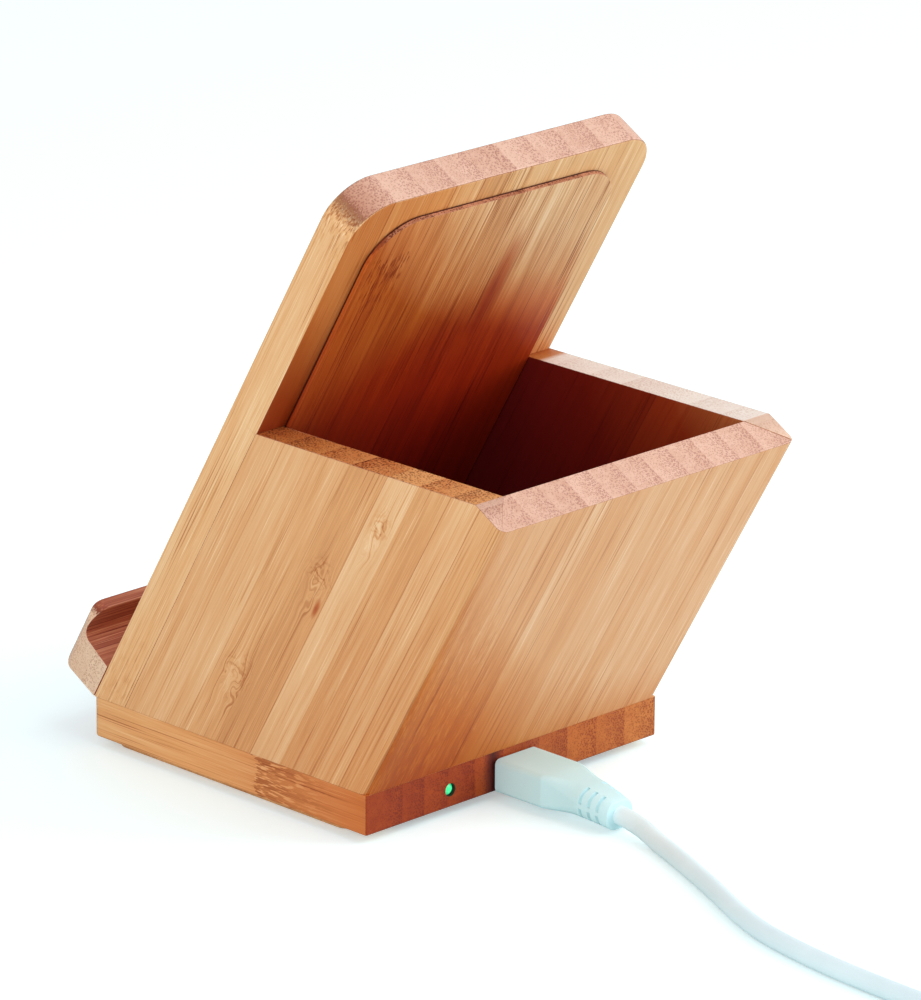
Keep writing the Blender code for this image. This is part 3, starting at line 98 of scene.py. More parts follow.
# The lead
PORT_Z = 0.0053
PLUG_FACE = BASE_BACK + FIT
PLUG_BODY, PLUG_TAPER, RELIEF = 0.0124, 0.0084, 0.0074
PLUG_LENGTH = PLUG_BODY + PLUG_TAPER + RELIEF
PLUG_WIDTH, PLUG_HEIGHT, PLUG_CORNER = 0.0114, 0.0069, 0.0011
RELIEF_WIDTHS, RELIEF_HEIGHTS = (0.0094, 0.0072), (0.0064, 0.0058)
RELIEF_DROOP = 0.0017
SLOTS, SLOT_PITCH, SLOT_WIDTH, SLOT_DEPTH = 3, 0.0020, 0.0007, 0.0007
SIDE_WEB, FLAT_WEB = 0.16, 0.42               # shares of the relief's half height and half width
MOULD_EDGE = 0.0003
CABLE = 0.0038
CABLE_ENTRY = 0.0008         # how far the cable starts inside the relief
STRAP = 0.0005               # thickness of the strap under the coil
WIDE_PLUG_HEIGHT = 0.0078


def linked(name, data):
    """A new object in the scene."""
    item = bpy.data.objects.new(name, data)
    bpy.context.scene.collection.objects.link(item)
    return item


# Camera

def place_camera():
    """A long lens behind the stand, above the corner with the status light."""
    azimuth, elevation, roll = (math.radians(angle) for angle in (134.81, 18.44, 0.45))
    target = Vector((0.01147, 0.0212725, 0.0619))
    distance = 1.29043
    focal_pixels, picture_width = 6778.39, 921
    turn = (Matrix.Rotation(azimuth, 4, "Z") @ Matrix.Rotation(math.pi / 2 - elevation, 4, "X")
            @ Matrix.Rotation(roll, 4, "Z"))
    back = turn @ Vector((0, 0, 1))
    lens = bpy.data.cameras.new("camera")
    lens.sensor_fit = "HORIZONTAL"
    lens.sensor_width = 36
    lens.lens = lens.sensor_width * focal_pixels / picture_width
    lens.clip_start, lens.clip_end = 0.05, 20
    camera = linked("camera", lens)
    camera.matrix_world = Matrix.Translation(target + back * distance) @ turn
    bpy.context.scene.camera = camera


place_camera()


# Small tools

def piece_of(name, data, finish, body, stands_for):
    """Put a finished mesh or curve into the scene as one piece of the object."""
    piece = linked(name, data)
    data.materials.clear()
    data.materials.append(finish)
    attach(piece, body)
    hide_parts(*stands_for)
    return piece


def mesh_of(bm, name, sharp=35):
    """Turn a bmesh into a mesh that is smooth where it is round."""
    bmesh.ops.remove_doubles(bm, verts=bm.verts, dist=1e-7)
    bmesh.ops.recalc_face_normals(bm, faces=bm.faces)
    mesh = bpy.data.meshes.new(name)
    bm.to_mesh(mesh)
    bm.free()
    mesh.shade_smooth()
    mesh.set_sharp_from_angle(angle=math.radians(sharp))
    return mesh


def solid_piece(name, bm, finish, node, body="stand", sharp=35):
    """A piece with eased edges, beside which its large flat faces keep their own normals."""
    piece = piece_of(name, mesh_of(bm, name, sharp), finish, body, [node])
    piece.modifiers.new("even normals", "WEIGHTED_NORMAL").keep_sharp = True
    return piece


def second_finish(piece, finish, where):
    """Give another finish to the faces picked by their middle point and normal."""
    piece.data.materials.append(finish)
    for face in piece.data.polygons:
        if where(face.center, face.normal):
            face.material_index = 1


def cuboid(low, high):
    bm = bmesh.new()
    bmesh.ops.create_cube(bm, size=1)
    bmesh.ops.scale(bm, vec=Vector(high) - Vector(low), verts=bm.verts)
    bmesh.ops.translate(bm, vec=(Vector(low) + Vector(high)) / 2, verts=bm.verts)
    return bm


def bevel(bm, edges, radius, steps):
    bmesh.ops.bevel(bm, geom=edges, offset=radius, segments=steps, profile=0.5, affect="EDGES", material=-1)


def round_off(bm, radius, steps, where):
    """Round the edges picked by their middle point and their direction."""
    chosen = []
    for edge in bm.edges:
        start, end = (vert.co for vert in edge.verts)
        if where((start + end) / 2, (end - start).normalized()):
            chosen.append(edge)
    bevel(bm, chosen, radius, steps)


def upright(way):
    return abs(way.z) > 0.9


def ease_edges(bm, width, glued, steps=3):
    """Sand the sharp edges, apart from those in a glued joint, which were sanded flush."""
    sharp = []
    for edge in bm.edges:
        middle = (edge.verts[0].co + edge.verts[1].co) / 2
        if edge.is_manifold and edge.calc_face_angle() > math.radians(35) and not glued(middle):
            sharp.append(edge)
    bevel(bm, sharp, width, steps)


def score(bm, point, normal, **settings):
    """Cut a shape's faces along a plane, and tell which parts are new."""
    geometry = [*bm.verts, *bm.edges, *bm.faces]
    return bmesh.ops.bisect_plane(bm, geom=geometry, plane_co=point, plane_no=normal, **settings)["geom_cut"]


def saw(bm, point, normal):
    """Saw off what lies on the side that the normal points to, and close the cut."""
    cut = score(bm, point, normal, clear_outer=True)
    bmesh.ops.edgeloop_fill(bm, edges=[item for item in cut if isinstance(item, bmesh.types.BMEdge)])


def moved(bm, matrix):
    bmesh.ops.transform(bm, matrix=matrix, verts=bm.verts)
    return bm


def rod(radius, start, end, sides):
    """Round cutter between two points."""
    start, end = Vector(start), Vector(end)
    bm = bmesh.new()
    bmesh.ops.create_cone(bm, cap_ends=True, segments=sides, radius1=radius, radius2=radius,
                          depth=(end - start).length)
    turn = (end - start).to_track_quat("Z", "Y").to_matrix().to_4x4()
    return moved(bm, Matrix.Translation((start + end) / 2) @ turn)


def carve(bm, cutters, operation="DIFFERENCE"):
    """The shape after Booleans with other shapes, as a new bmesh."""
    work = linked("carved", bpy.data.meshes.new("carved"))
    bm.to_mesh(work.data)
    bm.free()
    tools = []
    for cutter in cutters:
        tool = linked("cutter", bpy.data.meshes.new("cutter"))
        bmesh.ops.recalc_face_normals(cutter, faces=cutter.faces)
        cutter.to_mesh(tool.data)
        cutter.free()
        tools.append(tool)
        modifier = work.modifiers.new("cut", "BOOLEAN")
        modifier.operation = operation
        modifier.solver = "EXACT"
        modifier.object = tool
    carved = work.evaluated_get(bpy.context.evaluated_depsgraph_get())
    result = bmesh.new()
    result.from_mesh(bpy.data.meshes.new_from_object(carved))
    for item in [work] + tools:
        bpy.data.objects.remove(item, do_unlink=True)
    return result


REST_FRAME = Matrix.Translation((0, BASE_FRONT, BASE_TOP)) @ Matrix.Rotation(REST_TILT, 4, "X")


# Finishes

def linear(code):
    """A colour's sRGB hex value as linear red, green, blue and alpha."""
    channels = [int(code[index:index + 2], 16) / 255 for index in (1, 3, 5)]
    return (*[value / 12.92 if value <= 0.04045 else ((value + 0.055) / 1.055) ** 2.4
              for value in channels], 1)


def add_node(tree, kind, inputs=(), stops=(), stepped=False, **settings):
    """Add a node with its settings, colour stops, values and links, or feed one that is there already.
    Inputs go by name or in the node's order, as value, from, from, to, to in a Map Range. A node given as
    an input links its first output. Colours are hex values."""
    node = kind if isinstance(kind, bpy.types.Node) else tree.nodes.new("ShaderNode" + kind)
    for key, value in settings.items():
        setattr(node, key, value)
    if stops:
        elements = node.color_ramp.elements
        while len(elements) < len(stops):
            elements.new(1)
        for element, (place, colour) in zip(elements, stops):
            element.position = place
            element.color = linear(colour) if isinstance(colour, str) else colour
        node.color_ramp.interpolation = "CONSTANT" if stepped else "LINEAR"
    for key, value in (inputs if isinstance(inputs, dict) else dict(enumerate(inputs))).items():
        socket = node.inputs[key] if isinstance(key, int) else next(
            each for each in node.inputs if each.enabled and each.name == key)
        if isinstance(value, bpy.types.Node):
            value = next(each for each in value.outputs if each.enabled)
        if isinstance(value, bpy.types.NodeSocket):
            tree.links.new(value, socket)
        else:
            socket.default_value = linear(value) if isinstance(value, str) else value
    return node


def new_material(name, **sockets):
    """A material, its way to add nodes, and its shader, whose constant sockets are set by name."""
    made = bpy.data.materials.new(name)
    made.use_nodes = True
    add = partial(add_node, made.node_tree)
    shader = made.node_tree.nodes["Principled BSDF"]
    add(shader, {key.replace("_", " "): value for key, value in sockets.items()})
    return made, add, shader


# Bamboo strips, pressed side by side: each has a width in millimetres and a tone from 0, dark, to 1, pale
SIDE_STRIPS = [(7.8, 0.56), (8.0, 0.64), (7.6, 0.46), (8.4, 0.26), (7.1, 0.82), (7.3, 0.42), (6.8, 0.62),
               (7.0, 0.52)]
REST_STRIPS = [(7.9, 0.52), (7.8, 0.62), (8.0, 0.50), (7.9, 0.58), (8.0, 0.66), (8.3, 0.30), (7.7, 0.58),
               (8.0, 0.48), (8.0, 0.64), (9.5, 0.62)]
REAR_STRIPS = [(6.5, 0.60), (7.0, 0.52), (7.0, 0.64), (7.0, 0.50), (7.0, 0.60), (7.0, 0.56), (7.0, 0.46),
               (6.5, 0.62), (7.0, 0.36), (7.0, 0.50), (9.0, 0.42)]
BASE_STRIPS = [(7.8, 0.60), (8.0, 0.48), (8.0, 0.58), (8.0, 0.44), (10.0, 0.36), (7.7, 0.62), (7.3, 0.42),
               (6.3, 0.56), (6.0, 0.40), (6.0, 0.50)]
LEDGE_STRIPS = [(7.6, 0.40), (7.8, 0.62)]
GRAIN_UP_REST = (math.radians(30), 0, 0)
GRAIN_BACK = (math.radians(90), 0, 0)
GRAIN_ACROSS = (math.radians(30), math.radians(-90), 0)

# Tints that multiply the colour, by distance: painted shade, darker deep in the box, towards the lower left
# of the rest's back and of the back wall, and low on the coil cover
INSIDE_WALL = [(0.12, "#D0A080"), (0.38, "#A44C26"), (0.75, "#7E2014"), (1.1, "#701828")]
BEHIND_REST = [(0.30, "#FFFFFF"), (0.42, "#F4D0A8"), (0.60, "#D4945C"), (0.92, "#BC5C28"), (1.15, "#84362A")]
COIL_COVER = [(0.46, "#FFFFFF"), (0.60, "#F4D8BC"), (0.68, "#EAB88C"), (0.76, "#CC7E38"), (0.94, "#C87232"),
              (1.25, "#A04420")]
LOW_BACK = [(0.78, "#FFFFFF"), (0.98, "#EAC080"), (1.12, "#D4A054")]

GLUE_LINE_MM = 0.20          # drawn wider than the real one, so that it shows
DOTS_PER_MM = 2.3            # the bundles of fibres end about 0.4 mm apart
STRIPS_APART = 977.0         # millimetres in the noise from tone 0 to tone 1, so that strips differ
FIBRE_DEPTH = 0.00006
SCORCHED, SCORCH_SHARE = "#742E14", 0.72


def strip_stops(strips):
    """Stops of two ramps. The stepped one has each strip's tone in red and the glue line at its end in
    green, stronger in one seam than in another. The other falls from 1 to 0 across each strip, from the
    dense side of the cane to the loose one."""
    total = sum(width for width, tone in strips)
    stepped, falling = [], []
    place = 0
    for width, tone in strips:
        stepped.append((place / total, (tone, 0, 0, 1)))
        falling.append((place / total, (1, 1, 1, 1)))
        place += width
        glue = 0.3 + width * 3.7 % 0.7
        stepped.append(((place - GLUE_LINE_MM) / total, (tone, glue, 0, 1)))
        falling.append(((place - GLUE_LINE_MM / 10) / total, (0, 0, 0, 1)))
    return total, stepped[:-1], falling


def oval(add, local, centre, reach):
    """Place in an oval on the surface, and the distance from its middle, which is 1 at the rim."""
    near = add("Mapping", {
        "Vector": local, "Location": (-centre[0] / reach[0], 0, -centre[1] / reach[1]),
        "Scale": (1 / reach[0], 0, 1 / reach[1])})
    return near, add("VectorMath", [near], operation="LENGTH")


def streaks(add, vector, per_mm, along_mm, detail=1.0, rough=0.5):
    """Noise that is fine across the grain and long along it."""
    stretched = add("Mapping", {"Vector": vector, "Scale": (per_mm, per_mm, 1 / along_mm)})
    return add("TexNoise", {"Vector": stretched, "Scale": 1.0, "Detail": detail, "Roughness": rough})


def strip_tones(add, across, strips, start):
    """Each strip's tone, the glue lines, and how dense the cane is."""
    total, stepped, falling = strip_stops(strips)
    share = add("MapRange", [across, start, start + total])
    strip = add("ValToRGB", [share], stops=stepped, stepped=True)
    split = add("SeparateColor", [strip])
    dense = add("ValToRGB", [share], stops=falling)
    return split.outputs["Red"], split.outputs["Green"], dense


def knuckled(add, local, knuckles):
    """Spread the fibres round each knuckle and make them wavy in it. Its eye is pale, with dark arcs above:
    these tones come back with their weights."""
    vector = local
    mask = eyes = arcs = None
    for *centre, radius, reach in knuckles:
        near, away = oval(add, local, centre, (radius, reach))
        inside = add("MapRange", [away, 1.0, 0.15], interpolation_type="SMOOTHSTEP")
        offset = add("SeparateXYZ", [near])
        push = add("Math", [offset.outputs["X"], inside], operation="MULTIPLY")
        push = add("Math", [push, -0.4 * radius], operation="MULTIPLY")
        shift = add("CombineXYZ", [push])
        vector = add("VectorMath", [vector, shift], operation="ADD")
        wobble = add("TexNoise", {"Vector": local, "Scale": 0.38, "Detail": 3.0})
        ragged = add("Math", [wobble, 1.5, away], operation="MULTIPLY_ADD")
        eye = add("MapRange", [ragged, 1.18, 0.98])
        rings = add("Math", [ragged, 17.0], operation="MULTIPLY")
        rings = add("Math", [rings], operation="SINE")
        rings = add("MapRange", [rings, 0.1, 0.9])
        above = add("MapRange", [offset.outputs["Z"], 0.0, 0.3])
        arc = add("Math", [rings, above], operation="MULTIPLY")
        arc = add("Math", [arc, inside], operation="MULTIPLY")
        if mask is None:
            mask, eyes, arcs = inside, eye, arc
        else:
            mask, eyes, arcs = (add("Math", pair, operation="MAXIMUM")
                                for pair in ((mask, inside), (eyes, eye), (arcs, arc)))
    if mask is None:
        return local, []
    long = add("Mapping", {"Vector": local, "Scale": (0.40, 0.40, 0.17)})
    wave = add("TexNoise", {"Vector": long, "Scale": 1.0, "Detail": 1.0})
    wave = add("Math", [wave, 0.5], operation="SUBTRACT")
    for factor in (mask, 5.5):
        wave = add("Math", [wave, factor], operation="MULTIPLY")
    shift = add("CombineXYZ", [wave])
    return add("VectorMath", [vector, shift], operation="ADD"), [(eyes, 0.08), (arcs, -0.34)]


def banded(add, vector, across, along, level, nodes):
    """Add bands of short broken fibres to the tone, each with a ragged end and a soft one. A band's ground
    and its dashes have tones of their own."""
    jagged = add("Math", [streaks(add, vector, 1.6, 400.0), 7.0, -3.5], operation="MULTIPLY_ADD")
    jagged = add("Math", [jagged, along], operation="ADD")
    dash = add("MapRange", [streaks(add, vector, 2.1, 3.4, 2.0), 0.52, 0.62])
    for low, high, along_low, along_high, ground, drawn in nodes:
        width = add("Math", [across, (low + high) / 2, (high - low) / 2], operation="COMPARE")
        inside = add("MapRange", [jagged, along_high, along_low])
        started = add("Math", [jagged, along_low],
                      operation="GREATER_THAN" if along_high > along_low else "LESS_THAN")
        for factor in (started, width):
            inside = add("Math", [inside, factor], operation="MULTIPLY")
        both = add("Math", [dash, drawn, ground], operation="MULTIPLY_ADD")
        level = add("Math", [inside, both, level], operation="MULTIPLY_ADD")
    return level


def tinted(add, parts, local, colour, tints):
    """Multiply the colour by one that changes with the distance from a place, on one face only."""
    for axis, low, high, *centre, reach, stops in tints:
        furthest = stops[-1][0]
        near, depth = oval(add, local, centre, reach)
        depth = add("Math", [depth, 1 / furthest], operation="MULTIPLY")
        tint = add("ValToRGB", [depth], stops=[(at / furthest, code) for at, code in stops])
        here = add("Math", [parts.outputs[axis], (low + high) / 2, (high - low) / 2], operation="COMPARE")
        colour = add("Mix", {"Factor": here, "A": colour, "B": tint}, data_type="RGBA",
                     blend_type="MULTIPLY")
    return colour


def end_grain(add, vector, local, tone, dense, ends, speckle):
    """Colour of the cut ends: a dot for each bundle of fibres, on ground that the sanding belt marked."""
    dot_place = add("Mapping", {"Vector": vector, "Scale": (DOTS_PER_MM, DOTS_PER_MM, 0.002)})
    dots = add("TexVoronoi", {"Vector": dot_place, "Scale": 1.0, "Randomness": 0.8})
    width = add("Math", [dense, 0.16, 0.14], operation="MULTIPLY_ADD")
    far = add("Math", [width, 0.30], operation="ADD")
    dot = add("MapRange", [dots, far, width])
    bold = add("MapRange", [tone, 0.40, 0.28, *speckle])
    weight = add("Math", [dense, speckle[1] - speckle[0], bold], operation="MULTIPLY_ADD")
    dot = add("Math", [dot, weight], operation="MULTIPLY")
    crossing = add("Mapping", {"Vector": local, "Rotation": (0, 0, math.radians(-38))})
    crossing = add("Mapping", {"Vector": crossing, "Scale": (0.22, 2.6, 0.002)})
    sanding = add("TexNoise", {"Vector": crossing, "Scale": 1.0, "Detail": 1.0})
    sanding = add("MapRange", [sanding, 0.56, 0.70, 0.0, 0.16])
    blot = add("TexNoise", {"Vector": dot_place, "Scale": 0.25, "Detail": 2.0})
    pith = add("Math", [tone, 0.8, -0.35], operation="MULTIPLY_ADD")
    for pattern, share in ((blot, 0.7), (dense, -0.16)):
        pith = add("Math", [pattern, share, pith], operation="MULTIPLY_ADD")
    pith = add("Math", [pith, sanding], operation="ADD")
    ground = add("ValToRGB", [pith], stops=[(0.0, ends[1]), (0.55, ends[2])])
    return add("Mix", {"Factor": dot, "A": ground, "B": ends[0]}, data_type="RGBA")


def bamboo(name, turn, across, through, strips, start, knuckles=(), nodes=(), deepen=(), end_tints=(),
           side=("#AE6632", "#DCA068", "#F4CEA0"), ends=("#A87464", "#C8987F", "#DAB19A"), figure=1.0,
           speckle=(0.50, 0.95), seed=0.0):
    """Carbonised bamboo, pressed in strips, sanded and oiled. The eye gets straight crisp fibres, a tone
    of its own for each strip, dots where the fibres end, denser at one side of each strip, and a satin
    sheen. Knuckles are eyes that the fibres bend round; nodes are bands with short broken fibres."""
    made, add, shader = new_material(name, IOR=1.5, Specular_IOR_Level=0.3)
    place = add("TexCoord")
    grain = add("Mapping", {"Vector": place.outputs["Object"], "Rotation": turn, "Scale": (1 / MM,) * 3})
    parts = add("SeparateXYZ", [grain])
    local = add("CombineXYZ", [parts.outputs[across], parts.outputs[through], parts.outputs["Z"]])
    vector, knuckle_tones = knuckled(add, local, knuckles)
    tone, glue, dense = strip_tones(add, parts.outputs[across], strips, start)
    own = add("Math", [tone, STRIPS_APART, seed], operation="MULTIPLY_ADD")
    offset = add("CombineXYZ", [0, own, own])
    vector = add("VectorMath", [vector, offset], operation="ADD")
    # Real fibres are finer: these are as coarse as they need to be to show
    broad = streaks(add, vector, 0.42, 50.0)
    fibres = streaks(add, vector, 3.7, 22.0, 3.0, 0.75)
    bundles = streaks(add, vector, 0.30, 40.0)
    dark_hairs = streaks(add, vector, 2.8, 34.0)
    pale_hairs = streaks(add, vector, 3.0, 24.0)
    grouped = add("MapRange", [bundles, 0.42, 0.60, 0.15, 1.0])
    dark = add("MapRange", [dark_hairs, 0.58, 0.68])
    dark = add("Math", [dark, grouped], operation="MULTIPLY")
    pale = add("MapRange", [pale_hairs, 0.64, 0.72])
    # Tone of the long grain, to which each pattern is added by its weight
    level = add("Math", [tone, 0.55, 0.28 - 0.49 * figure], operation="MULTIPLY_ADD")
    for pattern, weight in [(broad, 0.30 * figure), (fibres, 0.68 * figure), (dark, -0.30 * figure),
                            (pale, 0.20 * figure), (glue, -0.40)] + knuckle_tones:
        level = add("Math", [pattern, weight, level], operation="MULTIPLY_ADD")
    if nodes:
        level = banded(add, vector, parts.outputs[across], parts.outputs["Z"], level, nodes)
    colour = add("ValToRGB", [level], stops=list(zip((0.0, 0.5, 1.0), side)))
    colour = tinted(add, parts, local, colour, deepen)
    end_colour = end_grain(add, vector, local, tone, dense, ends, speckle)
    end_colour = tinted(add, parts, local, end_colour, end_tints)
    # Which way the surface faces, with a ragged scorched line where the end grain starts
    turn_back = (Matrix.Rotation(turn[0], 3, "X").transposed() @ Matrix.Rotation(turn[1], 3, "Y").transposed()
                 @ Vector((0, 0, 1)))
    facing = add("VectorMath", [place.outputs["Normal"], turn_back], operation="DOT_PRODUCT")
    facing = add("Math", [facing], operation="ABSOLUTE")
    ragged = streaks(add, vector, 3.4, 400.0, 2.0, 0.6)
    ragged = add("Math", [ragged, 0.50, facing], operation="MULTIPLY_ADD")
    end_share = add("MapRange", [ragged, 0.86, 0.89])
    colour = add("Mix", {"Factor": end_share, "A": colour, "B": end_colour}, data_type="RGBA")
    line = add("MapRange", [ragged, 0.55, 0.80])
    past = add("MapRange", [ragged, 1.00, 0.88])
    for factor in (past, SCORCH_SHARE):
        line = add("Math", [line, factor], operation="MULTIPLY")
    colour = add("Mix", {"Factor": line, "A": colour, "B": SCORCHED}, data_type="RGBA")
    gloss = add("MapRange", [fibres, 0.3, 0.7, 0.46, 0.62])
    relief = add("Math", [dark, -0.5, fibres], operation="MULTIPLY_ADD")
    bump = add("Bump", {"Height": relief, "Strength": 0.25, "Distance": FIBRE_DEPTH})
    add(shader, {"Base Color": colour, "Roughness": gloss, "Normal": bump})
    return made


def grained(name, dark, pale, grit_mm, roughness, bump_mm, **sockets):
    """A plain moulded, pressed or printed surface: fine grain in its colour, gloss and relief."""
    made, add, shader = new_material(name, **sockets)
    place = add("TexCoord").outputs["Object"]
    grit = add("TexNoise", {"Vector": place, "Scale": 1 / MM / grit_mm, "Detail": 3.0})
    cloud = add("TexNoise", {"Vector": place, "Scale": 90.0, "Detail": 2.0})
    both = add("Math", [grit, cloud], operation="ADD")
    spread = add("MapRange", [both, 0.75, 1.25])
    colour = add("ValToRGB", [spread], stops=[(0, dark), (1, pale)])
    gloss = add("MapRange", [grit, 0.3, 0.7, roughness - 0.05, roughness + 0.06])
    bump = add("Bump", {"Height": grit, "Strength": 0.3, "Distance": bump_mm * MM})
    add(shader, {"Base Color": colour, "Roughness": gloss, "Normal": bump})
    return made


# Places in the bamboo are in millimetres along each piece's own grain. A face lies between two of them
# along one axis, and a tint on it has its centre, how far it reaches across and along, and its colours.
INSIDE, OUTSIDE = ("X", -33.3, 33.3), ("X", 39.0, 41.0)
LEVEL_RIM, SQUARE_RIM = ("Z", 40.0, 91.8), ("Z", 91.8, 95.0)
REAR_OUTSIDE, REAR_INSIDE = ("Y", 9.5, 20.0), ("Y", -20.0, 9.4)
BOARD_REAR, BOARD_END = ("Y", -42.2, -30.0), ("Z", 100.0, 121.0)
PANEL_REAR, PANEL_EDGE = ("Y", -41.7, -30.0), ("Y", -42.3, -41.75)
BASE_REAR = ("Z", 24.0, 26.0)
# Painted shade: the walls are darker deep in the box, and the left wall's outer face is darker towards its
# lower rear corner
inside_tint = (*INSIDE, 12.0, 98.0, (70.0, 60.0), INSIDE_WALL)
left_bamboo = bamboo(
    "carbonised bamboo, left wall", GRAIN_UP_REST, "Y", "X", SIDE_STRIPS, -43.0, figure=1.14,
    knuckles=[(-22.2, 14.5, 5.4, 10.0), (-15.0, 47.4, 5.0, 10.0), (-7.6, 67.0, 3.6, 10.0)],
    deepen=[inside_tint,
            (*OUTSIDE, 22.0, 4.0, (42.0, 80.0), [(0.0, "#EFD8BC"), (0.55, "#F3E6DA"), (1.1, "#FFFFFF")]),
            (*OUTSIDE, -12.4, 44.0, (0.7, 2.6), [(0.0, "#CC8468"), (0.5, "#DCAA8A"), (1.1, "#FFFFFF")])])
# The left wall's level rim was planed across the ends of its fibres, which show there as dark dots. Its
# orange-brown ground is painted shade from the rest, darker still towards the rest
rim_bamboo = bamboo(
    "carbonised bamboo, level rim", GRAIN_UP_REST, "Y", "X", SIDE_STRIPS, -43.0,
    ends=("#561A06", "#C4743C", "#DC9C60"), speckle=(0.85, 1.0),
    end_tints=[(*LEVEL_RIM, -43.0, 60.0, (80.0, 80.0),
                [(0.0, "#C89468"), (0.2, "#E4C8A8"), (0.5, "#FFFFFF"), (1.0, "#FFFFFF")])])
# Painted light and shade: the right wall's pale ends stand for its rim lit from the right, with a pinker tint
# on its sloped rim; the front end of its level rim is painted orange-brown for the shade and reflected light
# from the rest
right_bamboo = bamboo(
    "carbonised bamboo, right wall", GRAIN_UP_REST, "Y", "X", SIDE_STRIPS, -43.0, seed=340,
    knuckles=[(-30.0, 30.0, 4.6, 8.0)], deepen=[inside_tint], ends=("#D4BAA8", "#E2D0C2", "#EBDFD2"),
    end_tints=[(*SQUARE_RIM, 0.0, 92.0, (80.0, 80.0), [(0.0, "#F4DACA"), (1.0, "#F4DACA")]),
               (*LEVEL_RIM, -43.0, 62.0, (5.0, 30.0),
                [(0.0, "#B86428"), (0.8, "#D08C50"), (1.1, "#FFFFFF")])])
# Painted shade: the back wall's outer face is darker towards its lower left, and its inner face deep in the
# box
back_bamboo = bamboo(
    "carbonised bamboo, back wall", GRAIN_UP_REST, "X", "Y", REAR_STRIPS, -38.0, seed=40, figure=1.2,
    nodes=[(16.0, 24.5, 0.0, 62.0, -0.10, 0.36), (24.5, 41.0, -10.0, 84.0, -0.12, 0.46)],
    side=("#AC6030", "#DE9E6A", "#F4CEA8"),
    deepen=[(*REAR_OUTSIDE, -40.0, 110.0, (100.0, 100.0), LOW_BACK),
            (*REAR_OUTSIDE, 26.0, 18.0, (24.0, 40.0), [(0.0, "#EEBC70"), (0.5, "#F4D8A8"), (1.1, "#FFFFFF")]),
            (*REAR_INSIDE, 0.0, 110.0, (90.0, 60.0), INSIDE_WALL)])
# Painted shade: the rest's back is darker towards its lower left and along its left margin, and its top end
# darker towards the left
board_bamboo = bamboo(
    "carbonised bamboo, rest", GRAIN_UP_REST, "X", "Y", REST_STRIPS, -40.4, seed=90, figure=1.5,
    nodes=[(39.0, 41.0, -30.0, 10.0, -0.04, -0.30), (38.6, 41.0, 118.0, 104.0, 0.0, -0.60)],
    side=("#A8602E", "#E2A86E", "#F6D4A6"),
    deepen=[(*BOARD_REAR, -45.0, 112.0, (150.0, 130.0), BEHIND_REST),
            (*BOARD_REAR, 42.0, 58.0, (34.0, 34.0), [(0.0, "#BC8454"), (0.4, "#CC9C70"), (1.1, "#FFFFFF")])],
    end_tints=[(*BOARD_END, 46.0, 120.0, (14.0, 200.0),
                [(0.0, "#C8A090"), (0.5, "#DCBCAC"), (1.1, "#FFFFFF")])])
# The cover's top edge was scorched; the dark line along its edges where they meet the rest is partly that
# scorch and partly painted contact shade
edge_tint = (*PANEL_EDGE, 0.0, 0.0, (1.0, 1.0), [(0.0, "#6A3018"), (1.0, "#6A3018")])
# Painted shade: the coil cover is darker towards its lower left and redder low in its middle, deep in the box
panel_bamboo = bamboo(
    "bamboo veneer, coil cover", GRAIN_UP_REST, "X", "Y", REST_STRIPS[::-1], -38.0, seed=150, figure=2.6,
    nodes=[(21.0, 31.0, 106.0, 88.0, 0.05, -0.85)], side=("#A4602E", "#DCA26C", "#F4D0A4"),
    deepen=[("Y", -60.0, -30.0, -60.0, 130.0, (130.0, 80.0), COIL_COVER), edge_tint,
            (*PANEL_REAR, -9.8, 89.0, (3.0, 14.0), [(0.0, "#C07850"), (0.5, "#D8A078"), (1.1, "#FFFFFF")]),
            (*PANEL_REAR, -8.0, 48.0, (40.0, 38.0),
             [(0.0, "#F07E22"), (0.5, "#EC902E"), (0.8, "#EEAA60"), (1.15, "#FFFFFF")])],
    ends=("#5A2416", "#96583A", "#B87C5C"), end_tints=[edge_tint], speckle=(0.8, 1.0))
# Painted shade: the base's left side is darker towards the back, and its back face darker towards the left,
# with a painted shadow beside the plug; its dark red ends are partly the base's own tone and partly painted
# shade under the leaning wall
base_bamboo = bamboo(
    "carbonised bamboo, base", GRAIN_BACK, "X", "Y", BASE_STRIPS, -38.8, seed=210, figure=1.4,
    nodes=[(38.0, 42.0, -5.5, 17.0, -0.46, 0.95)], side=("#A8602E", "#E2A468", "#F2C692"),
    deepen=[(*OUTSIDE, 40.0, -52.0, (80.0, 82.0), [(0.0, "#FFFFFF"), (0.35, "#FFF4E8"), (1.0, "#DC9C60")])],
    ends=("#842E06", "#A85620", "#C87C3C"), speckle=(0.50, 0.85),
    end_tints=[(*BASE_REAR, -45.0, 25.0, (75.0, 80.0),
                [(0.0, "#FFFFFF"), (0.3, "#F4DCBC"), (0.75, "#D08C38"), (1.1, "#C88024")]),
               (*BASE_REAR, 5.8, 25.0, (2.6, 80.0), [(0.0, "#6C3428"), (0.5, "#B08474"), (1.1, "#FFFFFF")])])
# Painted shade: the ledge's long grain is darker and redder than the other pieces', as the rest shades it
ledge_bamboo = bamboo(
    "carbonised bamboo, ledge", GRAIN_ACROSS, "Y", "X", LEDGE_STRIPS, -62.0, seed=260, figure=2.2,
    side=("#6E2418", "#AA5A3E", "#D08A66"), ends=("#BE9074", "#DCB494", "#E8C8AA"))

# Plain finishes: two colours, grit in millimetres, roughness and relief in millimetres
cork = grained("cork and rubber pad", "#C08450", "#EDB478", 0.5, 0.85, 0.10)
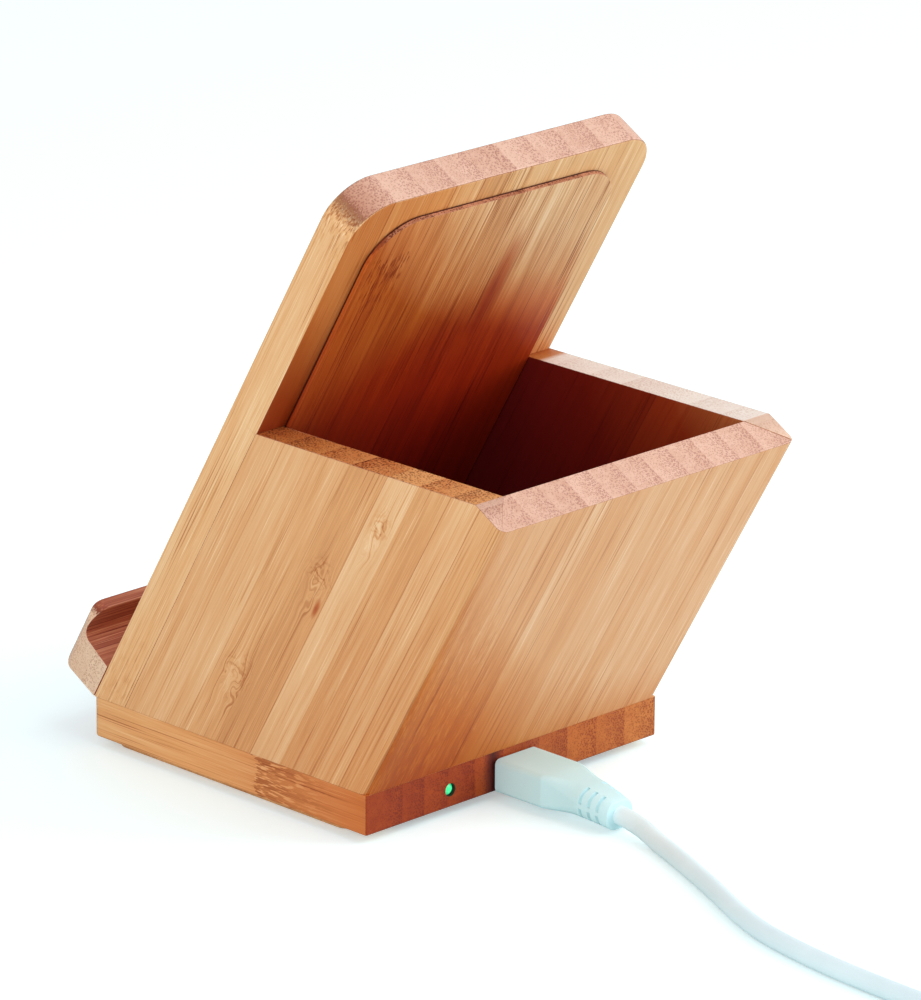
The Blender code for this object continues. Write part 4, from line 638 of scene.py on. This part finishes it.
# Painted shade: the bore round the status light is near black, standing for the shade in it
stained = grained("drilled bamboo, stained dark", "#0E120C", "#241C12", 0.5, 0.7, 0.05)
white_plastic = grained("moulded PVC, plug", "#C2E6EA", "#CCEEF2", 0.12, 0.60, 0.01, IOR=1.53,
                        Specular_IOR_Level=0.15)
cable_plastic = grained("extruded PVC, cable", "#D6E8EB", "#DEF0F3", 0.15, 0.60, 0.01, IOR=1.53,
                        Specular_IOR_Level=0.15)
black_plastic = grained("moulded ABS, black", "#141414", "#1E1E1E", 0.2, 0.45, 0.02, IOR=1.53)
steel = grained("nickel plated steel", "#B8B8B4", "#CFCFCB", 0.3, 0.28, 0.004, Metallic=1.0)
copper = grained("enamelled copper wire", "#A8552A", "#C8733C", 0.4, 0.25, 0.01, Metallic=1.0)
ferrite = grained("sintered ferrite", "#2A2A2C", "#38383B", 0.2, 0.6, 0.02)
sleeve = grained("silicone wire sleeve", "#141414", "#202020", 0.3, 0.55, 0.02)
resin = grained("glass epoxy circuit board, green varnish", "#0E4A24", "#176A35", 0.8, 0.35, 0.02, IOR=1.5)
ceramic = grained("capacitor ceramic", "#8A6A44", "#A58458", 0.2, 0.5, 0.01)
strap = grained("woven strap, black", "#101010", "#242424", 0.5, 0.85, 0.10)
lens = grained("moulded green lens, lit from within", "#3FE28A", "#7CF7BC", 0.3, 0.2, 0.003, IOR=1.5,
               Emission_Color="#35E08C", Emission_Strength=0.5)


# Wood

def tilted_cuboid(half_width, low, high, inner, outer):
    """Plank in the rest's frame: half width, reach up the rest, and depth out of its front face."""
    return cuboid((-half_width, low, inner), (half_width, high, outer))


def level_cut(bm):
    """In the rest's frame, saw a plank off level with the base's top, less a glue line."""
    down = Vector((0, -UP_REST.z, -UP_REST.y))
    saw(bm, -down * SEAM, down)


def near_base(middle):
    return middle.z < BASE_TOP + 4 * EASE


def round_top_corners(bm, radius, reach):
    round_off(bm, radius, 20, lambda middle, way: upright(way) and middle.y > reach / 2)


def make_base():
    bm = cuboid(LOW_BASE, HIGH_BASE)
    round_off(bm, FRONT_CORNER, 8, lambda middle, way: upright(way) and middle.y < BASE_FRONT + SEAM)
    round_off(bm, EASE, 3, lambda middle, way: middle.z < BASE_BOTTOM + SEAM
              or upright(way) and middle.y > 0)
    gap, higher = Vector((FIT, FIT, 0)), Vector((0, 0, FIT))
    cover_low, cover_high = corners_of("bottom_cover")
    board_low, board_high = corners_of("circuit_board")
    socket_low, socket_high = corners_of("socket_shell")
    below = Vector((0, 0, -PAST))
    shoulder = Vector((BOARD_SHOULDER, BOARD_SHOULDER, 0))
    cavity_high = Vector((board_high.x - shoulder.x, board_high.y + gap.y, BASE_BOTTOM + POCKET_CEILING))
    cutters = [
        cuboid(cover_low - gap + below, cover_high + gap),
        cuboid(board_low - gap + below, board_high + gap),
        cuboid(board_low + shoulder - gap + below, cavity_high),
        cuboid(socket_low - gap - higher, socket_high + gap + Vector((0, 2 * PAST, 0)) + higher),
        rod(LIGHT_BORE, (LIGHT_X, board_high.y - MM, LIGHT_Z), (LIGHT_X, BASE_BACK + MM, LIGHT_Z), 32)]
    base = solid_piece("base", carve(bm, cutters), base_bamboo, "base_block")
    # The bore's wall gets the near-black painted shade
    second_finish(base, stained, lambda centre, normal: math.hypot(
        centre.x - LIGHT_X, centre.z - LIGHT_Z) < LIGHT_BORE and abs(normal.y) < 0.5)


def make_pad():
    bm = cuboid(*corners_of("anti_slip_pad"))
    round_off(bm, PAD_CORNER, 8, lambda middle, way: upright(way))
    ease_edges(bm, FINE_EASE, lambda middle: False, 2)
    solid_piece("pad", bm, cork, "anti_slip_pad")


def flush_with_walls(middle):
    return middle.z < RIM and (REST_FRAME.inverted() @ middle).z < -BOARD_THICKNESS / 2


def make_rest():
    bm = tilted_cuboid(HALF_WIDTH, -SPARE, BOARD_LENGTH, -BOARD_THICKNESS, 0)
    round_top_corners(bm, BOARD_CORNER, BOARD_LENGTH)
    level_cut(bm)
    moved(bm, REST_FRAME)
    # Below the rim the board's sides were sanded flush with the walls
    for below_rim in (0, EASE):
        score(bm, (0, BOARD_BACK + BOX_HEIGHT * LEAN, RIM - below_rim), UP_REST)
    ease_edges(bm, EASE, lambda middle: near_base(middle) or flush_with_walls(middle))
    coil_low, coil_high = corners_of("ferrite_sheet")
    middle = (REST_FRAME.inverted() @ ((coil_low + coil_high) / 2)).y
    pocket = rod(COIL_POCKET, (0, middle, -SPARE), (0, middle, -COIL_SKIN), 96)
    groove = cuboid((-LEAD_GROOVE, -SPARE, -SPARE), (LEAD_GROOVE, middle - SPARE, -LEAD_SKIN))
    board = carve(bm, [moved(pocket, REST_FRAME), moved(groove, REST_FRAME)])
    solid_piece("rest_board", board, board_bamboo, "phone_rest_board")
    bm = tilted_cuboid(PANEL_HALF_WIDTH, -SPARE, PANEL_LENGTH, PANEL_BACK, -BOARD_THICKNESS - SEAM)
    round_top_corners(bm, PANEL_CORNER, PANEL_LENGTH)
    level_cut(bm)
    moved(bm, REST_FRAME)
    ease_edges(bm, FINE_EASE, near_base)
    solid_piece("coil_cover", bm, panel_bamboo, "coil_cover_panel")


def make_ledge():
    """L-shaped strip: a block with a channel, whose outer corners are rounded from front and from above."""
    inner = LEDGE_REACH - LIP_THICKNESS
    bm = tilted_cuboid(HALF_WIDTH, FINE_EASE, LEDGE_LIP, SEAM, LEDGE_REACH)
    round_off(bm, LEDGE_EDGE, 10, lambda middle, way: abs(way.x) > 0.9 and middle.y < LEDGE_LIP / 2
              and middle.z > LEDGE_REACH / 2)
    from_front = cuboid((-HALF_WIDTH, -PAST, -PAST), (HALF_WIDTH, LEDGE_LIP, LEDGE_REACH + PAST))
    round_off(from_front, LIP_CORNER, 14, lambda middle, way: upright(way) and middle.y > LEDGE_LIP / 2)
    from_above = cuboid((-HALF_WIDTH, -PAST, -PAST), (HALF_WIDTH, LEDGE_LIP + PAST, LEDGE_REACH))
    round_off(from_above, LEDGE_EDGE, 10, lambda middle, way: abs(way.y) > 0.9
              and middle.z > LEDGE_REACH / 2)
    bm = carve(bm, [from_front, from_above], "INTERSECT")
    channel = cuboid((-HALF_WIDTH - PAST, LEDGE_FLOOR, -PAST), (HALF_WIDTH + PAST, LEDGE_LIP + PAST, inner))
    for vert in channel.verts:
        if vert.co.y < LEDGE_LIP and vert.co.z > 0:
            vert.co.y = LIP_FLOOR
    round_off(channel, CHANNEL_CORNER, 8, lambda middle, way: abs(way.x) > 0.9 and middle.y < LEDGE_LIP
              and middle.z > 0)
    bm = carve(bm, [channel])
    bmesh.ops.dissolve_limit(bm, angle_limit=math.radians(1), verts=bm.verts, edges=bm.edges)
    solid_piece("ledge", moved(bm, REST_FRAME), ledge_bamboo, "phone_ledge")


def leaning(bm):
    """Lean an upright wall back with the rest, from the base's top up."""
    for vert in bm.verts:
        vert.co.y += (vert.co.z - BASE_TOP) * LEAN
    return bm


def mitre(side):
    """A point on the mitre between a side wall and the back wall, and its normal out of the side wall."""
    inner = Vector((side * (HALF_WIDTH - WALL), BOX_INNER_BACK, BASE_TOP))
    outer = Vector((side * HALF_WIDTH, BASE_BACK, BASE_TOP))
    normal = (outer - inner).cross(UP_REST).normalized()
    return inner, normal if normal.y > 0 else -normal


def on_mitre(middle):
    for side in (1, -1):
        point, normal = mitre(side)
        if abs((middle - point).dot(normal)) < MITRE_GLUE[side]:
            return True
    return False


def at_board(middle):
    """Close to the plane of the board's back."""
    away = (REST_FRAME.inverted() @ middle).z + BOARD_THICKNESS
    return away > -4 * SEAM


def make_walls():
    foot, front = BASE_TOP + SEAM, BOARD_BACK + SEAM
    on_rim = Vector((0, BOX_INNER_BACK + BOX_HEIGHT * LEAN, RIM))

    def glued(middle):
        return near_base(middle) or on_mitre(middle) or at_board(middle)

    for name, node, side, finish in (("side_wall_left", "left_wall", 1, left_bamboo),
                                     ("side_wall_right", "right_wall", -1, right_bamboo)):
        inner, outer = sorted((side * (HALF_WIDTH - WALL), side * HALF_WIDTH))
        bm = cuboid((inner, front, foot), (outer, BASE_BACK, RIM))
        round_off(bm, BOX_CORNER, 10, lambda middle, way: upright(way) and middle.y > 0
                  and abs(middle.x) > HALF_WIDTH - FINE_EASE)
        leaning(bm)
        point, normal = mitre(side)
        saw(bm, point - normal * MITRE_GLUE[side] / 2, normal)
        saw(bm, on_rim, UP_REST)
        ease_edges(bm, FINE_EASE * 1.5, glued)
        wall = solid_piece(name, bm, finish, node)
        # The left wall's level rim gets the finish with painted shade
        if side > 0:
            second_finish(wall, rim_bamboo, lambda centre, normal: normal.z > 0.95)
    bm = cuboid((-HALF_WIDTH, BOX_INNER_BACK, foot), (HALF_WIDTH, BASE_BACK, RIM))
    round_off(bm, BOX_CORNER, 10, lambda middle, way: upright(way) and middle.y > BOX_INNER_BACK + SEAM)
    leaning(bm)
    for side in (1, -1):
        point, normal = mitre(side)
        saw(bm, point + normal * MITRE_GLUE[side] / 2, -normal)
    saw(bm, on_rim, UP_REST)
    ease_edges(bm, FINE_EASE * 1.5, glued)
    solid_piece("rear_wall", bm, back_bamboo, "back_wall")


def make_status_lens():
    """Domed green lens that fills the bore in the base's back."""
    low, high = corners_of("status_light")
    centre, radius = (low + high) / 2, (high.x - low.x) / 2
    bm = bmesh.new()
    bmesh.ops.create_uvsphere(bm, u_segments=40, v_segments=20, radius=radius)
    bmesh.ops.scale(bm, vec=(1, DOME_RISE / radius, 1), verts=bm.verts)
    rear = [vert for vert in bm.verts if vert.co.y < -SEAM]
    bmesh.ops.scale(bm, vec=(1, REAR_RISE, 1), verts=rear)
    bmesh.ops.translate(bm, vec=(centre.x, high.y - DOME_RISE, centre.z), verts=bm.verts)
    bmesh.ops.translate(bm, vec=(0, low.y - high.y + DOME_RISE, 0), verts=rear)
    piece_of("status_lens", mesh_of(bm, "status_lens"), lens, "stand", ["status_light"])


make_base()
make_pad()
make_status_lens()
make_rest()
make_ledge()
make_walls()


# Lead

# Route on the surface: x from the middle, y from the base's back face
RUN_POINTS = [(0.0, 0.0288), (0.0004, 0.0345), (0.0028, 0.0422), (0.0073, 0.0533), (0.0124, 0.0648),
              (0.0180, 0.0767), (0.0215, 0.0867), (0.0241, 0.1020), (0.0252, 0.1180), (0.0255, 0.1370),
              (0.0255, 0.1560), (0.0255, 0.1660)]
# Each point of the tail also has the share of the way down from the coil's upper layer
TAIL_POINTS = [(0.0311, 0.1538, 0.0), (0.0272, 0.1577, 0.0), (0.0222, 0.1631, 0.0), (0.0185, 0.1675, 0.35),
               (0.0155, 0.1713, 0.8), (0.0130, 0.1747, 1.0)]
COIL_PITCH = 0.0043
COIL_LOOPS = 6
LOOP_POINTS = 24
LOOP_INNER_RADIUS = 0.0148
LOOP_OUTER_RADIUS = LOOP_INNER_RADIUS + COIL_PITCH * COIL_LOOPS / 2
LOOP_LOW = STRAP + FIT + CABLE / 2
COIL_CENTRE = Vector((RUN_POINTS[-1][0] + LOOP_OUTER_RADIUS,
                      BASE_BACK + RUN_POINTS[-1][1] + CABLE + FIT, 0))


def coil_points():
    """Two layers of loops: in on the lower one, out on the upper one, climbing where they turn back. The
    last loop stops an eighth of a turn early, where the cable leaves the coil across its own run."""
    points = []
    middle = COIL_LOOPS / 2
    for step in range(COIL_LOOPS * LOOP_POINTS - LOOP_POINTS // 8 + 1):
        loops = step / LOOP_POINTS
        radius = LOOP_INNER_RADIUS + COIL_PITCH * abs(middle - loops)
        climb = min(1.0, max(0.0, (loops - middle) * 2 + 0.5))
        height = LOOP_LOW + COIL_PITCH * climb * climb * (3 - 2 * climb)
        angle = math.pi - math.tau * loops
        points.append(COIL_CENTRE + Vector((radius * math.cos(angle), radius * math.sin(angle), height)))
    return points


def cable_points():
    exit_z = PORT_Z - RELIEF_DROOP
    heights = [exit_z, (exit_z + CABLE / 2) / 2] + [CABLE / 2] * (len(RUN_POINTS) - 4) + [LOOP_LOW] * 2
    points = [Vector((x, BASE_BACK + y, z)) for (x, y), z in zip(RUN_POINTS, heights)]
    points[0].y = PLUG_FACE + PLUG_LENGTH - CABLE_ENTRY
    points += coil_points()
    top, low = LOOP_LOW + COIL_PITCH, WIDE_PLUG_HEIGHT / 2
    points += [Vector((x, BASE_BACK + y, top + (low - top) * share)) for x, y, share in TAIL_POINTS]
    return points


def make_cable():
    curve = bpy.data.curves.new("cable", "CURVE")
    curve.dimensions = "3D"
    curve.bevel_depth = CABLE / 2
    curve.bevel_resolution = 8
    curve.resolution_u = 8
    curve.use_fill_caps = True
    spline = curve.splines.new("BEZIER")
    points = cable_points()
    spline.bezier_points.add(len(points) - 1)
    for index, knot in enumerate(spline.bezier_points):
        before, here, after = (points[min(max(index + step, 0), len(points) - 1)] for step in (-1, 0, 1))
        behind, ahead = (here - before).length, (after - here).length
        way = (after - before).normalized()
        if min(abs(here.z - before.z), abs(after.z - here.z)) < SEAM:
            way.z = 0
        knot.handle_left_type = knot.handle_right_type = "FREE"
        knot.co = here
        knot.handle_left, knot.handle_right = here - way * behind / 3, here + way * ahead / 3
    return piece_of("cable", curve, cable_plastic, "charging_lead",
                    ["lead_cable_run", "lead_cable_coil", "lead_cable_tail"])


def rounded_reach(half_width, half_height, corner, way):
    """How far a rounded rectangle reaches from its middle in one direction."""
    across, up = abs(way.x), abs(way.z)
    flat = min(half_width / max(across, 1e-6), half_height / max(up, 1e-6))
    centre = Vector((half_width - corner, 0, half_height - corner))
    if flat * across <= centre.x or flat * up <= centre.z:
        return flat
    along = centre.x * across + centre.z * up
    return along + math.sqrt(max(0.0, along ** 2 - centre.length_squared + corner ** 2))


def plug_section(along, inset=0.0, depth=0.0):
    """Width, height, corner, sink of the axis, inset and slot depth, at a distance from the plug's face."""
    taper = min(1.0, max(0.0, (along - PLUG_BODY) / PLUG_TAPER))
    thinner = taper * taper * (3 - 2 * taper)
    relief = max(0.0, (along - PLUG_BODY - PLUG_TAPER) / RELIEF)
    narrow = taper * (2 - taper)
    width = (PLUG_WIDTH + (RELIEF_WIDTHS[0] - PLUG_WIDTH) * narrow
             + (RELIEF_WIDTHS[1] - RELIEF_WIDTHS[0]) * relief)
    height = (PLUG_HEIGHT + (RELIEF_HEIGHTS[0] - PLUG_HEIGHT) * thinner
              + (RELIEF_HEIGHTS[1] - RELIEF_HEIGHTS[0]) * relief)
    corner = PLUG_CORNER + (height / 2 - MOULD_EDGE - PLUG_CORNER) * thinner
    past = max(0.0, along - PLUG_BODY) / (PLUG_LENGTH - PLUG_BODY)
    return along, width / 2 - inset, height / 2 - inset, corner, RELIEF_DROOP * past ** 2, depth


def plug_sections():
    """Sections from the face to the end of the strain relief, with three slots in the relief."""
    quarter = [math.radians(angle) for angle in (0, 22, 45, 68, 90)]
    edge = [(MOULD_EDGE * (1 - math.sin(angle)), MOULD_EDGE * (1 - math.cos(angle))) for angle in quarter]
    rows = [plug_section(along, inset) for along, inset in reversed(edge)]
    rows += [plug_section(PLUG_BODY * share) for share in (0.5, 0.97, 0.99, 1.0)]
    rows += [plug_section(PLUG_BODY + PLUG_TAPER * step / 24) for step in range(1, 25)]
    start = PLUG_BODY + PLUG_TAPER
    wall = SLOT_WIDTH / 8
    for index in range(SLOTS):
        first = start + SLOT_PITCH * (index + 0.5) - SLOT_WIDTH / 2
        for step, depth in ((-wall, 0), (0, 0), (wall, 0.9), (2 * wall, 1), (6 * wall, 1), (7 * wall, 0.9),
                            (8 * wall, 0), (9 * wall, 0)):
            rows.append(plug_section(first + step, 0, depth * SLOT_DEPTH))
    rows += [plug_section(PLUG_LENGTH - along, inset) for along, inset in edge]
    return rows


def make_plug():
    """Moulded grip, flat on top down to its relief, whose slots leave webs at the sides, above and below."""
    bm = bmesh.new()
    bmesh.ops.create_circle(bm, segments=192, radius=1)
    bmesh.ops.rotate(bm, verts=bm.verts, matrix=Matrix.Rotation(math.pi / 2, 3, "X"))
    ring, edges, axis = list(bm.verts), list(bm.edges), 0.0
    first = list(edges)
    for index, (along, half_width, half_height, corner, sink, depth) in enumerate(plug_sections()):
        if index:
            made = bmesh.ops.extrude_edge_only(bm, edges=edges)["geom"]
            ring = [item for item in made if isinstance(item, bmesh.types.BMVert)]
            fresh = set(ring)
            edges = [item for item in made if isinstance(item, bmesh.types.BMEdge)
                     and item.verts[0] in fresh and item.verts[1] in fresh]
        height = PORT_Z - sink
        for vert in ring:
            way = (vert.co - Vector((0, vert.co.y, axis))).normalized()
            reach = rounded_reach(half_width, half_height, corner, way)
            webbed = (abs(way.z) * reach < SIDE_WEB * half_height
                      or abs(way.x) * reach < FLAT_WEB * half_width)
            reach -= 0 if webbed else depth
            vert.co = Vector((way.x * reach, PLUG_FACE + along, height + way.z * reach))
        axis = height
    for rim in (first, edges):
        bmesh.ops.edgeloop_fill(bm, edges=rim)
    return solid_piece("plug", bm, white_plastic, "lead_plug_housing", "charging_lead", 50)


cable = make_cable()
plug = make_plug()

NODE_FINISHES = {
    "bottom_cover": black_plastic, "charging_coil": copper, "ferrite_sheet": ferrite,
    "coil_lead_inner": sleeve, "coil_lead_outer": sleeve, "circuit_board": resin,
    "controller_chip": black_plastic, "choke": ferrite, "socket_shell": steel,
    "socket_tongue": black_plastic, "lead_plug_shell": steel, "lead_cable_tie": strap,
    "wide_plug_housing": white_plastic, "wide_plug_shell": steel, "wide_plug_tongue": white_plastic}
NUMBERED_FINISHES = {"screw": steel, "driver_chip": black_plastic, "resonance_capacitor": ceramic}


def finish_nodes():
    """Give the pieces that stay as they are their finish."""
    for name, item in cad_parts.items():
        finish = NODE_FINISHES.get(name)
        for kind, numbered_finish in NUMBERED_FINISHES.items():
            if kind in name:
                finish = numbered_finish
        if finish is not None:
            item.data.materials.clear()
            item.data.materials.append(finish)


finish_nodes()


# Light and floor

FLOOR_SIZE = 3
FLOOR_DROP = 0.00006         # keeps the pad and the floor apart where both are seen from below
FLOOR_LIFT = 0.38            # how much paler the floor is to the camera


def area_light(name, place, target, size, power, colour="#FFFFFF"):
    """Large soft lamp, turned to a point."""
    lamp = bpy.data.lights.new(name, "AREA")
    lamp.shape = "RECTANGLE"
    lamp.size, lamp.size_y = size
    lamp.energy = power
    lamp.color = linear(colour)[:3]
    item = linked(name, lamp)
    item.location = place
    item.rotation_euler = (Vector(target) - Vector(place)).to_track_quat("-Z", "Y").to_euler()


def make_floor():
    """Pale floor that keeps the shadow, and is lifted to white for the camera alone."""
    bm = bmesh.new()
    bmesh.ops.create_grid(bm, x_segments=1, y_segments=1, size=FLOOR_SIZE)
    bmesh.ops.translate(bm, verts=bm.verts, vec=(0, 0, -FLOOR_DROP))
    floor = linked("floor", bpy.data.meshes.new("floor"))
    bm.to_mesh(floor.data)
    bm.free()
    finish, add, shader = new_material("white paper floor", Base_Color="#D8EEF0", Roughness=0.9,
                                       Specular_IOR_Level=0.1)
    path = add("LightPath")
    lift = add("Emission", {"Color": "#FFFFFF", "Strength": FLOOR_LIFT})
    both = add("AddShader", [shader, lift])
    seen = add("MixShader", [path.outputs["Is Camera Ray"], shader, both])
    add(finish.node_tree.nodes["Material Output"], {"Surface": seen})
    floor.data.materials.append(finish)


def make_surround():
    """Soft pale light from all round, which is white to the camera and in metal and glass."""
    world = bpy.data.worlds.new("surround")
    bpy.context.scene.world = world
    world.use_nodes = True
    add = partial(add_node, world.node_tree)
    soft = add(world.node_tree.nodes["Background"], {"Color": "#F6F3F8", "Strength": 0.62})
    white = add("Background", {"Color": "#FFFFFF", "Strength": 1.0})
    path = add("LightPath")
    seen = add("Math", [path.outputs["Is Camera Ray"], path.outputs["Is Glossy Ray"]], operation="MAXIMUM")
    seen = add("Math", [seen, path.outputs["Is Transmission Ray"]], operation="MAXIMUM")
    mix = add("MixShader", [seen, soft, white])
    add(world.node_tree.nodes["World Output"], {"Surface": mix})


make_floor()
make_surround()
area_light("window on the right", (-0.85, 0.80, 0.45), (0, 0.02, 0.05), (0.8, 0.8), 8.2)
area_light("overhead", (-0.25, 0.75, 1.15), (0, 0.02, 0.05), (1.0, 1.0), 6.4, "#E6F4FF")
area_light("left fill", (1.0, 0.40, 0.40), (0, 0, 0.05), (0.8, 0.8), 5.4, "#FFF7F0")
bpy.context.scene.view_settings.view_transform = "Standard"
